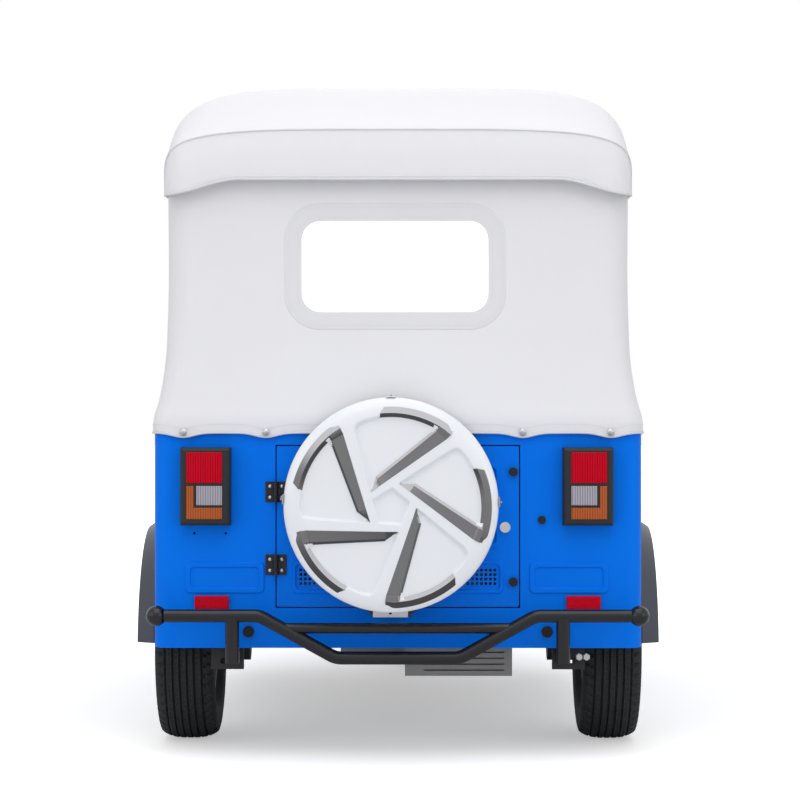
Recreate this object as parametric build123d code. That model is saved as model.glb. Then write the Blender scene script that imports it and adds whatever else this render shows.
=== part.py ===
from build123d import *
import math
import os

# Auto rickshaw with a canvas hood, a rear engine and one steered front wheel.
# Millimetres. +Y is forward, +X is the right side seen from behind, +Z is up.
# The origin is on the ground under the middle of the vehicle.

# Driving dimensions: whole vehicle
WHEELBASE = 2000.0
REAR_OVERHANG = 380.0
REAR_TRACK = 1078.0
BODY_WIDTH = 1200.0
BODY_BOTTOM = 270.0
BODY_TOP = 822.0
HEM_Z = 792.0
FLARE_REACH = 48.0
SHEET = 25.0
CORNER_R = 40.0
SEAT_GAP = 0.3
MOVING_GAP = 6.0

# Wheels: one size all round, and the spare
TYRE_R = 253.0
TYRE_W = 148.0
RIM_R = 152.0
RIM_W = 110.0
RIM_WALL = 4.0
HUB_R = 42.0
STUB_R = 18.0
ARCH_GAP = 42.0

# Spare wheel on the rear door
COVER_DEPTH = 156.0
COVER_WALL = 3.0
COVER_RELIEF = 9.0
CARRIER_GAP = 30.0
SPARE_X = -15.0
SPARE_Z = 628.0

# Rear door
DOOR_HALF = 297.0
DOOR_LOW = 371.0
DOOR_HIGH = 765.0
DOOR_GAP = 3.0
HINGE_OUT = 11.0
HINGE_R = 7.0
HINGE_HEIGHTS = (474.0, 653.0)
HINGE_W = 52.0
HINGE_H = 50.0

# Front fork and steering
RAKE = 25.0
FORK_OFFSET = 30.0
FORK_LEG_X = 106.0
FORK_LEG_R = 17.0
CROWN_Z = 322.0
COLUMN_R = 20.0
HEAD_LOW = 372.0
HEAD_HIGH = 560.0
HEAD_WALL = 10.0
BAR_Z = 790.0
BAR_HALF = 330.0
BAR_R = 11.0
GUARD_GAP = 19.0
GUARD_W = 168.0
GUARD_WALL = 3.0

# Floor, seats and bulkhead
FLOOR_Z = 300.0
FLOOR_T = 12.0
RAIL_X = 300.0
RAIL_SIZE = 50.0
BENCH_FRONT_AHEAD = 512.0
BENCH_BACK_AHEAD = 82.0
BENCH_Z = 560.0
PARTITION_BEHIND = 1098.0
FLOOR_BEHIND = 346.0
SHELF_Z = 790.0
CUSHION_T = 100.0

# Canopy
CANVAS = 4.0
CANOPY_IN = 28.0
LIP_Z = 1417.0
LIP_OUT = 5.0
WALL_IN = 30.0
HOOP_R = 12.5
WINDOW_W = 468.0
WINDOW_H = 232.0
WINDOW_X = -7.0
WINDOW_Z = 1207.0
WINDOW_R = 50.0

# Windscreen
SCREEN_BEHIND = 178.0
SCREEN_RUN = 205.0
SCREEN_BASE_Z = 935.0
SCREEN_TOP_Z = 1625.0
SCREEN_IN = 45.0
SCREEN_FRAME = 34.0
SCREEN_T = 28.0
GLASS_T = 5.0

# Rear bumper
BUMPER_OUT = 72.0
BUMPER_R = 16.0
CROSSBAR_R = 13.0
CROSSBAR_Z = 325.0

# Places that follow from the sizes above
HALF_BODY = BODY_WIDTH / 2
COVER_R = TYRE_R + SEAT_GAP + COVER_WALL
SPARE_REACH = CARRIER_GAP + COVER_DEPTH + COVER_WALL + COVER_RELIEF
LENGTH = SPARE_REACH + REAR_OVERHANG + WHEELBASE + TYRE_R
REAR_Y = -LENGTH / 2 + SPARE_REACH
REAR_AXLE_Y = REAR_Y + REAR_OVERHANG
FRONT_AXLE_Y = REAR_AXLE_Y + WHEELBASE
ARCH_R = TYRE_R + ARCH_GAP
QUARTER_Y = REAR_AXLE_Y + ARCH_R + 45.0
WHEEL_X = REAR_TRACK / 2
CANOPY_HALF = HALF_BODY - CANOPY_IN
SCREEN_W = 2 * (HALF_BODY - SCREEN_IN)
SCREEN_BASE_Y = FRONT_AXLE_Y - SCREEN_BEHIND
SCREEN_TOP_Y = SCREEN_BASE_Y - SCREEN_RUN
BENCH_FRONT = REAR_AXLE_Y + BENCH_FRONT_AHEAD
BENCH_BACK = REAR_AXLE_Y + BENCH_BACK_AHEAD
PARTITION_Y = FRONT_AXLE_Y - PARTITION_BEHIND
SCREEN_LEAN = math.degrees(math.atan2(SCREEN_BASE_Y - SCREEN_TOP_Y, SCREEN_TOP_Z - SCREEN_BASE_Z))
SCREEN_H = math.hypot(SCREEN_BASE_Y - SCREEN_TOP_Y, SCREEN_TOP_Z - SCREEN_BASE_Z)


def box(x0, x1, y0, y1, z0, z1):
    """A block between two corners."""
    size = Box(x1 - x0, y1 - y0, z1 - z0)
    return Pos((x0 + x1) / 2, (y0 + y1) / 2, (z0 + z1) / 2) * size


def rod(start, end, radius):
    """A round bar from one point to another."""
    axis = Vector(*end) - Vector(*start)
    plane = Plane(origin=start, z_dir=axis)
    return extrude(plane * Circle(radius), axis.length)


def bent_tube(points, radius, bend):
    """A round tube along straight runs with a bend of one radius at each corner."""
    path = FilletPolyline(*points, radius=bend)
    section = Plane(origin=path @ 0, z_dir=path % 0) * Circle(radius)
    return sweep(section, path=path)


def both_sides(shape):
    """The shape and its mirror image across the middle plane, as one compound."""
    return Compound(children=[shape, mirror(shape, about=Plane.YZ)])


def revolve_x(points, centre):
    """A closed outline of (along X, radius) points turned about the X axis."""
    outline = make_face(Polyline(*[(p[0], p[1], 0) for p in points], close=True))
    return Pos(*centre) * revolve(outline, Axis.X, 360)


def save(name, shape):
    """Write one piece to its own file."""
    export_step(shape, os.path.join("parts", name + ".step"))


os.makedirs("parts", exist_ok=True)


# Rear tub: rear panel and quarter panels in one pressing
def u_plan(half, rear, front, radius, wall):
    """A U-shaped wall in plan, open to the front, with rounded rear corners."""
    outer = RectangleRounded(2 * half, 2 * (front - rear), radius)
    inner = RectangleRounded(
        2 * (half - wall), 2 * (front - rear - wall), max(radius - wall, 2.0)
    )
    ring = outer - inner
    keep = Pos(0, -(front - rear) / 2) * Rectangle(2 * half, front - rear)
    return Pos(0, front) * (ring & keep)


BRACKET_HOLES_X = (-499.0, -422.0)
BRACKET_HOLES_Z = 551.0
BRACKET_HOLE_R = 3.0


# Pressed frames under the lamps: half width, half height, height of the middle, corner radius
PRESS_HALF_W = 98.0
PRESS_HALF_H = 39.0
PRESS_Z = 442.5
PRESS_EDGE = 15.0
PRESS_RISE = 4.0
PRESS_R = 14.0
LAMP_INWARD = 45.0
# Tail lamps: how far each middle lies inside the tub's side, left first
LAMP_INSIDE = (130.5, 135.5)
LAMP_X = (-HALF_BODY + LAMP_INSIDE[0], HALF_BODY - LAMP_INSIDE[1])


def pressed_frame(half_w, half_h, edge):
    """A raised rectangular ridge, drawn about its middle and rising towards the rear."""
    outer = RectangleRounded(2 * half_w, 2 * half_h, PRESS_R)
    inner = RectangleRounded(2 * (half_w - edge), 2 * (half_h - edge), PRESS_R - 4)
    ridge = extrude(Plane.XZ * (outer - inner), PRESS_RISE)
    return chamfer(ridge.faces().sort_by(Axis.Y)[0].edges(), PRESS_RISE - 1)


def rear_tub():
    walls = extrude(
        u_plan(HALF_BODY, REAR_Y, QUARTER_Y, CORNER_R, SHEET), BODY_TOP - BODY_BOTTOM
    )
    tub = Pos(0, 0, BODY_BOTTOM) * walls
    for x in LAMP_X:
        inward = -LAMP_INWARD if x > 0 else LAMP_INWARD
        tub += Pos(x + inward, REAR_Y, PRESS_Z) * pressed_frame(PRESS_HALF_W, PRESS_HALF_H, PRESS_EDGE)
    half = DOOR_HALF + DOOR_GAP
    tub -= box(-half, half, REAR_Y - 1, REAR_Y + SHEET + 1, DOOR_LOW - DOOR_GAP, DOOR_HIGH + DOOR_GAP)
    arch = Cylinder(ARCH_R, BODY_WIDTH + 2 * SHEET, rotation=(0, 90, 0))
    tub -= Pos(0, REAR_AXLE_Y, TYRE_R) * arch
    for x in BRACKET_HOLES_X:
        tub -= rod((x, REAR_Y - 1, BRACKET_HOLES_Z), (x, REAR_Y + SHEET + 1, BRACKET_HOLES_Z), BRACKET_HOLE_R)
    return tub


save("rear_tub", rear_tub())


# Inner wheel houses over the rear wheels
HOUSE_WALL = 5.0
HOUSE_IN = WHEEL_X - TYRE_W / 2 - 24.0


def wheel_house():
    length = HALF_BODY - SHEET - HOUSE_IN - SEAT_GAP
    outer = Cylinder(ARCH_R + HOUSE_WALL, length)
    inner = Pos(0, 0, HOUSE_WALL) * Cylinder(ARCH_R, length)
    shell = Rot(0, 90, 0) * (outer - inner)
    shell = Pos(HOUSE_IN + length / 2, REAR_AXLE_Y, TYRE_R) * shell
    keep = box(0, HALF_BODY, REAR_AXLE_Y - 2 * ARCH_R, REAR_AXLE_Y + 2 * ARCH_R, BODY_BOTTOM + 55, 900)
    return shell & keep


save("wheel_houses", both_sides(wheel_house()))


# Bulkhead: bench support, engine bay wall and parcel shelf, one folded sheet
BULK_T = 14.0
BULK_HALF = HALF_BODY - SHEET - SEAT_GAP


def bulkhead():
    low = FLOOR_Z + FLOOR_T + SEAT_GAP
    rear = REAR_Y + SHEET + SEAT_GAP
    outline = Polyline(
        (BENCH_FRONT, low),
        (BENCH_FRONT, BENCH_Z),
        (BENCH_BACK, BENCH_Z),
        (BENCH_BACK, SHELF_Z),
        (rear, SHELF_Z),
        (rear, SHELF_Z - BULK_T),
        (BENCH_BACK - BULK_T, SHELF_Z - BULK_T),
        (BENCH_BACK - BULK_T, BENCH_Z - BULK_T),
        (BENCH_FRONT - BULK_T, BENCH_Z - BULK_T),
        (BENCH_FRONT - BULK_T, low),
        close=True,
    )
    sheet = extrude(Plane.YZ * make_face(outline), BULK_HALF, both=True)
    clear = Rot(0, 90, 0) * Cylinder(ARCH_R + HOUSE_WALL + 1, 400)
    clear = Pos(HOUSE_IN + 200 - 1, REAR_AXLE_Y, TYRE_R) * clear
    plan = RectangleRounded(2 * BULK_HALF, 2 * (BENCH_FRONT - rear), CORNER_R - SHEET)
    keep = Pos(0, BENCH_FRONT, 0) * extrude(plan, BODY_TOP)
    return (sheet & keep) - both_sides(clear)


save("bulkhead", bulkhead())


# Floor pan with the front wheel's bay left open
FLOOR_FRONT = FRONT_AXLE_Y - FLOOR_BEHIND
TOE_TOP = 640.0
SIDE_HALF = HALF_BODY - 40.0
TOE_HALF = SIDE_HALF - 54.0


def floor_pan():
    deck = box(-SIDE_HALF, SIDE_HALF, BENCH_FRONT - 60, FLOOR_FRONT, FLOOR_Z, FLOOR_Z + FLOOR_T)
    toe = box(-TOE_HALF, TOE_HALF, FLOOR_FRONT - FLOOR_T, FLOOR_FRONT, FLOOR_Z, TOE_TOP)
    return deck + toe


save("floor_pan", floor_pan())


# Chassis: two rails, cross members and the steering head
FORK_FOOT = (
    0.0,
    FRONT_AXLE_Y - FORK_OFFSET * math.cos(math.radians(RAKE)),
    TYRE_R - FORK_OFFSET * math.sin(math.radians(RAKE)),
)
STEER = Location(FORK_FOOT, (RAKE, 0, 0))


def on_column(height):
    """Y and Z of a point at some height up the steering axis."""
    point = (STEER * Pos(0, 0, height)).position
    return point.Y, point.Z


RAIL_TOP = FLOOR_Z - SEAT_GAP
RAIL_LOW = RAIL_TOP - RAIL_SIZE
RAIL_FRONT = FLOOR_FRONT + 40
STAY_Y = FLOOR_FRONT + 22
FOOT_PAD = 6.0


KICK_UP = 62.0
KICK_Y = QUARTER_Y - 20
OUTRIGGER_T = 20.0
OUTRIGGER_X = RAIL_X + 160.0
PLATE_IN = OUTRIGGER_X - 80.0
TOW_X = OUTRIGGER_X - 30.0
TOW_Z = 236.0
TOW_R = 8.0
OUTRIGGER_LOW = 215.0


REAR_END = REAR_Y + SHEET + SEAT_GAP
RAIL_IN = RAIL_X - RAIL_SIZE / 2
RAIL_OUT = RAIL_X + RAIL_SIZE / 2
CROSS_W = 40.0
CROSS_YS = (BENCH_FRONT - 80, PARTITION_Y - 120, FLOOR_FRONT - 392, RAIL_FRONT - CROSS_W)


def chassis_rail():
    """One rail with its kick-up over the axle and the outrigger at its rear end."""
    rail = box(RAIL_IN, RAIL_OUT, KICK_Y, RAIL_FRONT, RAIL_LOW, RAIL_TOP)
    rail += box(RAIL_IN, RAIL_OUT, REAR_END, KICK_Y + RAIL_SIZE, RAIL_LOW + KICK_UP, RAIL_TOP + KICK_UP)
    rail += box(RAIL_IN, RAIL_OUT, KICK_Y, KICK_Y + RAIL_SIZE, RAIL_LOW, RAIL_TOP + KICK_UP)
    top = RAIL_TOP + KICK_UP - 10
    rail += box(RAIL_IN, OUTRIGGER_X, REAR_END, REAR_END + OUTRIGGER_T, BODY_BOTTOM + 5, top)
    rail += box(PLATE_IN, OUTRIGGER_X, REAR_END, REAR_END + OUTRIGGER_T, OUTRIGGER_LOW, top)
    eye = rod((TOW_X, REAR_END - 1, TOW_Z), (TOW_X, REAR_END + OUTRIGGER_T + 1, TOW_Z), TOW_R)
    return rail - eye


def cross_members():
    """Bars between the rails, butted to their inner faces."""
    half = RAIL_IN - SEAT_GAP
    low = RAIL_LOW + KICK_UP
    bars = [box(-half, half, REAR_END, REAR_END + 30, low, low + RAIL_SIZE)]
    for y in CROSS_YS:
        bars.append(box(-half, half, y - CROSS_W / 2, y + CROSS_W / 2, RAIL_LOW + 5, RAIL_TOP))
    return Compound(children=bars)


def steering_head():
    """The head tube and its two stays down to the rails."""
    tube = Cylinder(COLUMN_R + HEAD_WALL, HEAD_HIGH - HEAD_LOW)
    head = STEER * (Pos(0, 0, (HEAD_LOW + HEAD_HIGH) / 2) * tube)
    head_y, head_z = on_column(HEAD_LOW + 70)
    foot_z = RAIL_TOP + FOOT_PAD + SEAT_GAP
    for side in (-1, 1):
        start = (side * (COLUMN_R + HEAD_WALL - 3), head_y, head_z)
        head += rod(start, (side * RAIL_X, STAY_Y, foot_z + 4), 12)
        head += box(side * RAIL_X - 20, side * RAIL_X + 20, STAY_Y - 15, STAY_Y + 15, foot_z - FOOT_PAD, foot_z + 4)
    bore = Pos(0, 0, (HEAD_LOW + HEAD_HIGH) / 2) * Cylinder(COLUMN_R + SEAT_GAP, 400)
    return head - STEER * bore


save("chassis_rails", both_sides(chassis_rail()))
save("cross_members", cross_members())
save("steering_head", steering_head())


# Front cowl: curved apron with side returns and a closed top
COWL_HALF = SIDE_HALF
COWL_BACK = FRONT_AXLE_Y - 558.0
COWL_T = 20.0
COWL_LOW = FLOOR_Z - 20
COWL_ARCH_HALF = 250.0
COWL_ARCH_TOP = 590.0
COWL_ARCH_R = 170.0
COWL_TOP = SCREEN_BASE_Z - SCREEN_T / 2 * math.sin(math.radians(SCREEN_LEAN)) - SEAT_GAP
# Apron sections: height, half width, Y of the side corner, Y of the middle
COWL_SECTIONS = (
    (COWL_LOW, COWL_HALF - 30, FRONT_AXLE_Y - 228, FRONT_AXLE_Y - 78),
    (600.0, COWL_HALF, FRONT_AXLE_Y - 148, FRONT_AXLE_Y + 57),
    (COWL_TOP, COWL_HALF, FRONT_AXLE_Y - 173, FRONT_AXLE_Y - 38),
)


HEADLAMP_X = 330.0
HEADLAMP_Z = 690.0
HEADLAMP_R = 82.0
INDICATOR_X = COWL_HALF - 86.0
INDICATOR_R = 36.0
NOSE_HOLES = ((HEADLAMP_X, HEADLAMP_Z, HEADLAMP_R), (INDICATOR_X, HEADLAMP_Z, INDICATOR_R))


def cowl_plan(half, corner, middle, back, inset):
    """Plan of the cowl: straight sides and an arc across the front."""
    half = half - inset
    sides = Polyline((half, corner - inset), (half, back), (-half, back), (-half, corner - inset))
    front = ThreePointArc((-half, corner - inset), (0, middle - inset), (half, corner - inset))
    return make_face(sides + front)


def cowl_block(inset, back):
    sections = [
        Pos(0, 0, z) * cowl_plan(half, corner, middle, back, inset)
        for z, half, corner, middle in COWL_SECTIONS
    ]
    return loft(sections, ruled=True)


def front_cowl():
    cowl = cowl_block(0, COWL_BACK) - cowl_block(COWL_T, COWL_BACK - 50)
    lid_front = FRONT_AXLE_Y + 200
    lid = cowl_block(0, SCREEN_BASE_Y - 60) & box(-HALF_BODY, HALF_BODY, 0, lid_front, COWL_TOP - COWL_T, COWL_TOP)
    cowl += lid
    arch = Rectangle(2 * COWL_ARCH_HALF, 2 * (COWL_ARCH_TOP - COWL_LOW))
    arch = fillet(arch.vertices(), COWL_ARCH_R)
    arch = extrude(Plane.XZ.offset(-COWL_BACK - 100) * arch, -700)
    cowl -= Pos(0, 0, COWL_LOW) * arch
    for x, z, radius in NOSE_HOLES:
        for side in (-1, 1):
            cowl -= rod((side * x, COWL_BACK + 200, z), (side * x, lid_front, z), radius + SEAT_GAP)
    floor_clear = box(
        -SIDE_HALF - 1, SIDE_HALF + 1, 0, FLOOR_FRONT + 50, COWL_LOW - 1, FLOOR_Z + FLOOR_T + SEAT_GAP
    )
    return cowl - floor_clear


save("front_cowl", front_cowl())


# Windscreen: a leaning frame and its pane
SCREEN = Location((0, SCREEN_BASE_Y, SCREEN_BASE_Z), (SCREEN_LEAN, 0, 0))


def screen_panel(inset, thickness, radius):
    """A rounded panel in the windscreen's leaning plane."""
    face = RectangleRounded(SCREEN_W - 2 * inset, SCREEN_H - 2 * inset, radius)
    panel = extrude(Plane.XZ * face, thickness / 2, both=True)
    return SCREEN * (Pos(0, 0, SCREEN_H / 2) * panel)


save(
    "windscreen_frame",
    screen_panel(0, SCREEN_T, 60) - screen_panel(SCREEN_FRAME, SCREEN_T + 2, 30),
)
save("windscreen_glass", screen_panel(SCREEN_FRAME + SEAT_GAP, GLASS_T, 30))


# Dashboard behind the windscreen's foot
DASH_BACK = 75.0
DASH_FRONT = 20.0
DASH_LOW = 820.0


def dashboard():
    top = COWL_TOP - COWL_T - SEAT_GAP
    rear = SCREEN_BASE_Y - DASH_BACK
    front = SCREEN_BASE_Y - DASH_FRONT
    outline = Polyline(
        (rear, top), (rear, DASH_LOW + 40), (rear + 30, DASH_LOW), (front, DASH_LOW), (front, top), close=True
    )
    return extrude(Plane.YZ * make_face(outline), TOE_HALF - 6, both=True)


save("dashboard", dashboard())


# Canopy roof: arch sections along the vehicle, closed at the back by the lip band
# Roof sections: Y, shoulder height, crown height
ROOF_SECTIONS = (
    (REAR_Y - LIP_OUT, 1508.0, 1540.0),
    (REAR_Y + 120.0, 1588.0, 1622.0),
    (REAR_Y + 320.0, 1644.0, 1684.0),
    (REAR_Y + 600.0, 1666.0, 1710.0),
    (SCREEN_TOP_Y - 525.0, 1662.0, 1708.0),
    (SCREEN_TOP_Y + 25.0, 1640.0, 1686.0),
)
ROOF_CORNER = 100.0
ROOF_HALF = CANOPY_HALF + CANVAS + SEAT_GAP


def arch_face(y, shoulder, crown, inset, low):
    """Cross-section of the roof with rounded shoulders and a crowned top."""
    half = ROOF_HALF - inset
    corner = min(ROOF_CORNER, shoulder - LIP_Z - 10) - inset
    shoulder = shoulder - inset
    crown = crown - inset
    bend = corner * (1 - math.sqrt(0.5))
    sides = Polyline((-half, shoulder - corner), (-half, low), (half, low), (half, shoulder - corner))
    right = ThreePointArc(
        (half, shoulder - corner), (half - bend, shoulder - bend), (half - corner, shoulder)
    )
    top = ThreePointArc((half - corner, shoulder), (0, crown), (corner - half, shoulder))
    left = ThreePointArc(
        (corner - half, shoulder), (bend - half, shoulder - bend), (-half, shoulder - corner)
    )
    return Plane.XZ.offset(-y) * make_face(sides + right + top + left)


def canopy_roof():
    outer = loft([arch_face(*row, 0, LIP_Z) for row in ROOF_SECTIONS], ruled=True)
    rows = [list(row) for row in ROOF_SECTIONS]
    rows[0][0] += CANVAS
    rows[-1][0] += 1
    inner = loft([arch_face(*row, CANVAS, LIP_Z + CANVAS) for row in rows], ruled=True)
    roof = outer - inner
    skirt_half = CANOPY_HALF + SEAT_GAP
    open_below = box(
        -skirt_half, skirt_half, REAR_Y + WALL_IN - SEAT_GAP, 1000, LIP_Z - 1, LIP_Z + CANVAS + 1
    )
    return roof - open_below


save("canopy_roof", canopy_roof())

# Canopy walls: back and sides in one sheet, flaring to the tub at the hem
# Wall sections: height, half width, Y of the back face
FLARE_HALF = HALF_BODY + SEAT_GAP + CANVAS
WALL_SECTIONS = (
    (HEM_Z, FLARE_HALF, REAR_Y - CANVAS - SEAT_GAP),
    (BODY_TOP + 4, FLARE_HALF, REAR_Y - CANVAS - SEAT_GAP),
    (930.0, CANOPY_HALF + 8, REAR_Y + 16.0),
    (1090.0, CANOPY_HALF, REAR_Y + WALL_IN),
    (LIP_Z + 24, CANOPY_HALF, REAR_Y + WALL_IN),
)
WALL_FRONT = QUARTER_Y + 30


def wall_block(inset):
    sections = []
    for z, half, rear in WALL_SECTIONS:
        depth = 2 * (WALL_FRONT - rear - inset)
        plan = RectangleRounded(2 * (half - inset), depth, CORNER_R + CANVAS - inset)
        sections.append(Pos(0, WALL_FRONT, z) * plan)
    return loft(sections, ruled=True)


def canopy_walls():
    shell = wall_block(0) - wall_block(CANVAS)
    shell -= box(-BODY_WIDTH, BODY_WIDTH, WALL_FRONT, LENGTH, 0, 2000)
    window = RectangleRounded(WINDOW_W, WINDOW_H, WINDOW_R)
    window = extrude(Plane.XZ.offset(-REAR_Y + 60) * window, -160)
    return shell - Pos(WINDOW_X, 0, WINDOW_Z) * window


save("canopy_walls", canopy_walls())


def window_film():
    film = RectangleRounded(WINDOW_W - 2 * SEAT_GAP, WINDOW_H - 2 * SEAT_GAP, WINDOW_R)
    film = extrude(Plane.XZ.offset(-REAR_Y - WALL_IN - 1) * film, -2)
    return Pos(WINDOW_X, 0, WINDOW_Z) * film


save("window_film", window_film())

# Canopy frame: hoops across, rails along
HOOP_HALF = CANOPY_HALF - CANVAS - HOOP_R - SEAT_GAP
HOOP_BEND = 105.0
# Hoops: Y, foot height
HOOPS = (
    (REAR_Y + 80.0, BODY_TOP),
    (QUARTER_Y - 20.0, BODY_TOP),
    (PARTITION_Y, FLOOR_Z + FLOOR_T),
)
FOOT_T = 8.0
CROWN_BEND = 2600.0


def roof_line(y):
    """Shoulder and crown heights of the roof at some Y, between its sections."""
    for start, end in zip(ROOF_SECTIONS, ROOF_SECTIONS[1:]):
        if y <= end[0]:
            share = (y - start[0]) / (end[0] - start[0])
            return tuple(a + (b - a) * share for a, b in zip(start[1:], end[1:]))
    return ROOF_SECTIONS[-1][1:]


def canopy_frame():
    frame = None
    knees = []
    for y, foot in HOOPS:
        low = foot + SEAT_GAP + FOOT_T
        shoulder, crown = roof_line(y)
        top = shoulder - CANVAS - HOOP_R - 10
        peak = crown - CANVAS - HOOP_R - 3
        corners = [(-HOOP_HALF, low), (-HOOP_HALF, top), (0, peak), (HOOP_HALF, top), (HOOP_HALF, low)]
        path = [(x, y, z) for x, z in corners]
        hoop = bent_tube(path, HOOP_R, [HOOP_BEND, CROWN_BEND, HOOP_BEND])
        reach = HALF_BODY - SHEET + 6
        for side in (-1, 1):
            plate = box(HOOP_HALF - 16, max(reach, HOOP_HALF + 16), y - 18, y + 18, low - FOOT_T, low + 1)
            if foot < BODY_TOP:
                plate = box(HOOP_HALF - HOOP_R, HOOP_HALF + 5, y - 18, y + 18, low - FOOT_T, low + 1)
            hoop += plate if side > 0 else mirror(plate, about=Plane.YZ)
        frame = hoop if frame is None else frame + hoop
        drop = HOOP_BEND * (1 - math.sqrt(0.5))
        knees.append((HOOP_HALF - drop, y, top - drop))
    knees.append((HOOP_HALF - drop, SCREEN_TOP_Y - SCREEN_T / 2, SCREEN_TOP_Z - 38))
    for start, end in zip(knees, knees[1:]):
        rail = rod(start, end, HOOP_R - 2)
        frame += rail + mirror(rail, about=Plane.YZ)
    return frame


save("canopy_frame", canopy_frame())


# Partition behind the driver
def partition():
    low = FLOOR_Z + FLOOR_T + SEAT_GAP
    half = HOOP_HALF - HOOP_R - SEAT_GAP
    panel = box(-half, half, PARTITION_Y - 9, PARTITION_Y + 9, low, 790)
    return panel


save("partition", partition())

# Seats
CUSHION_R = 28.0


def cushion(x0, x1, y0, y1, z0, z1):
    pad = box(x0, x1, y0, y1, z0, z1)
    return fillet(pad.edges(), CUSHION_R)


BENCH_HALF = HALF_BODY - 70.0
BACK_T = 84.0
DRIVER_HALF = 210.0
DRIVER_Y0 = PARTITION_Y + 9 + SEAT_GAP
DRIVER_Y1 = PARTITION_Y + 410.0
DRIVER_Z = 585.0
bench_seat = cushion(
    -BENCH_HALF, BENCH_HALF, BENCH_BACK + BACK_T + 6, BENCH_FRONT + 20, BENCH_Z + SEAT_GAP, BENCH_Z + CUSHION_T
)
bench_back = cushion(
    -BENCH_HALF, BENCH_HALF, BENCH_BACK + SEAT_GAP, BENCH_BACK + BACK_T, BENCH_Z + SEAT_GAP, 1120
)
driver_seat = cushion(
    -DRIVER_HALF - 25, DRIVER_HALF + 25, DRIVER_Y0 + 80, DRIVER_Y1 + 20, DRIVER_Z + SEAT_GAP, DRIVER_Z + 90
)
driver_back = cushion(
    -DRIVER_HALF - 15, DRIVER_HALF + 15, DRIVER_Y0, DRIVER_Y0 + 74, DRIVER_Z + SEAT_GAP, 1010
)
save("seat_cushions", Compound(children=[bench_seat, driver_seat]))
save("seat_backrests", Compound(children=[bench_back, driver_back]))
seat_box = box(-DRIVER_HALF, DRIVER_HALF, DRIVER_Y0, DRIVER_Y1, FLOOR_Z + FLOOR_T + SEAT_GAP, DRIVER_Z)
save("driver_seat_box", seat_box)


# Wheel arch flares
FLARE_OUT = HALF_BODY + FLARE_REACH
FLARE_WALL = 5.0


def arch_flare():
    start = HALF_BODY + SEAT_GAP
    radius = ARCH_R - 4
    profile = [
        (start, radius + 34),
        (start + 6, radius + 34),
        (FLARE_OUT, radius + 6),
        (FLARE_OUT, radius),
        (FLARE_OUT - FLARE_WALL, radius),
        (start, radius + 22),
    ]
    ring = revolve_x(profile, (0, REAR_AXLE_Y, TYRE_R))
    keep = box(0, FLARE_OUT + 1, REAR_AXLE_Y - 2 * ARCH_R, REAR_AXLE_Y + 2 * ARCH_R, BODY_BOTTOM + 6, 900)
    return ring & keep


save("arch_flares", both_sides(arch_flare()))

# Tail lamps: black housings with red, clear and amber lenses
LAMP_W = 123.0
LAMP_H = 190.0
LAMP_Z = 667.0
LAMP_OUT = 40.0
LENS_OUT = 3.0
LENS_SINK = 8.0
# Lenses: outer X, inner X, low Z, high Z from the lamp's middle, outer side first; amber is an L
LENSES = {
    "tail_lamp_red": ((-46.0, 42.0, 8.0, 84.0),),
    "tail_lamp_clear": ((-22.0, 42.0, -46.0, 2.0),),
    "tail_lamp_amber": ((-46.0, 42.0, -80.0, -51.0), (-46.0, -27.0, -80.0, 2.0)),
}


def lens_block(x, row, gap, rear, front):
    """A block over one lens area of the lamp at x, drawn in by a gap all round."""
    side = 1 if x > 0 else -1
    outer, inner, low, high = row
    ends = sorted((x - side * outer, x - side * inner))
    return box(ends[0] + gap, ends[1] - gap, rear, front, LAMP_Z + low + gap, LAMP_Z + high - gap)


def tail_lamp_housings():
    parts = []
    for x in LAMP_X:
        body = box(
            x - LAMP_W / 2, x + LAMP_W / 2, REAR_Y - LAMP_OUT, REAR_Y - SEAT_GAP, LAMP_Z - LAMP_H / 2, LAMP_Z + LAMP_H / 2
        )
        body = fillet(body.faces().sort_by(Axis.Y)[0].edges(), 9)
        for rows in LENSES.values():
            for row in rows:
                body -= lens_block(x, row, 0, REAR_Y - LAMP_OUT - 1, REAR_Y - LAMP_OUT + LENS_SINK)
        parts.append(body)
    return Compound(children=parts)


save("tail_lamp_housings", tail_lamp_housings())


def lens_pair(rows):
    rear = REAR_Y - LAMP_OUT - LENS_OUT
    front = REAR_Y - LAMP_OUT + LENS_SINK - SEAT_GAP
    parts = []
    for x in LAMP_X:
        lens = lens_block(x, rows[0], SEAT_GAP, rear, front)
        for row in rows[1:]:
            lens += lens_block(x, row, SEAT_GAP, rear, front)
        parts.append(fillet(lens.faces().sort_by(Axis.Y)[0].edges(), LENS_OUT - 0.5))
    return Compound(children=parts)


for name, rows in LENSES.items():
    save(name, lens_pair(rows))

REFLECTOR_X = (LAMP_X[0] + 13.5, LAMP_X[1] - 9.5)
REFLECTOR_Z = 382.0
REFLECTOR_OUT = 11.0
reflector = box(-42, 42, REAR_Y - REFLECTOR_OUT, REAR_Y - SEAT_GAP, -16, 16)
reflector = fillet(reflector.faces().sort_by(Axis.Y)[0].edges(), 4)
save("reflectors", Compound(children=[Pos(x, 0, REFLECTOR_Z) * reflector for x in REFLECTOR_X]))

# Rear bumper
BUMPER_Y = REAR_Y - BUMPER_OUT
POST_X = 401.0
# Main tube corners: X, Z from the outer end to the lower middle
BUMPER_END = HALF_BODY - 15.0
BUMPER_Z = 355.0
BUMPER_LOW = 253.0
BUMPER_CORNERS = ((BUMPER_END, BUMPER_Z), (335.0, BUMPER_Z), (150.0, BUMPER_LOW))
BALL_R = 25.0


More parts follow.
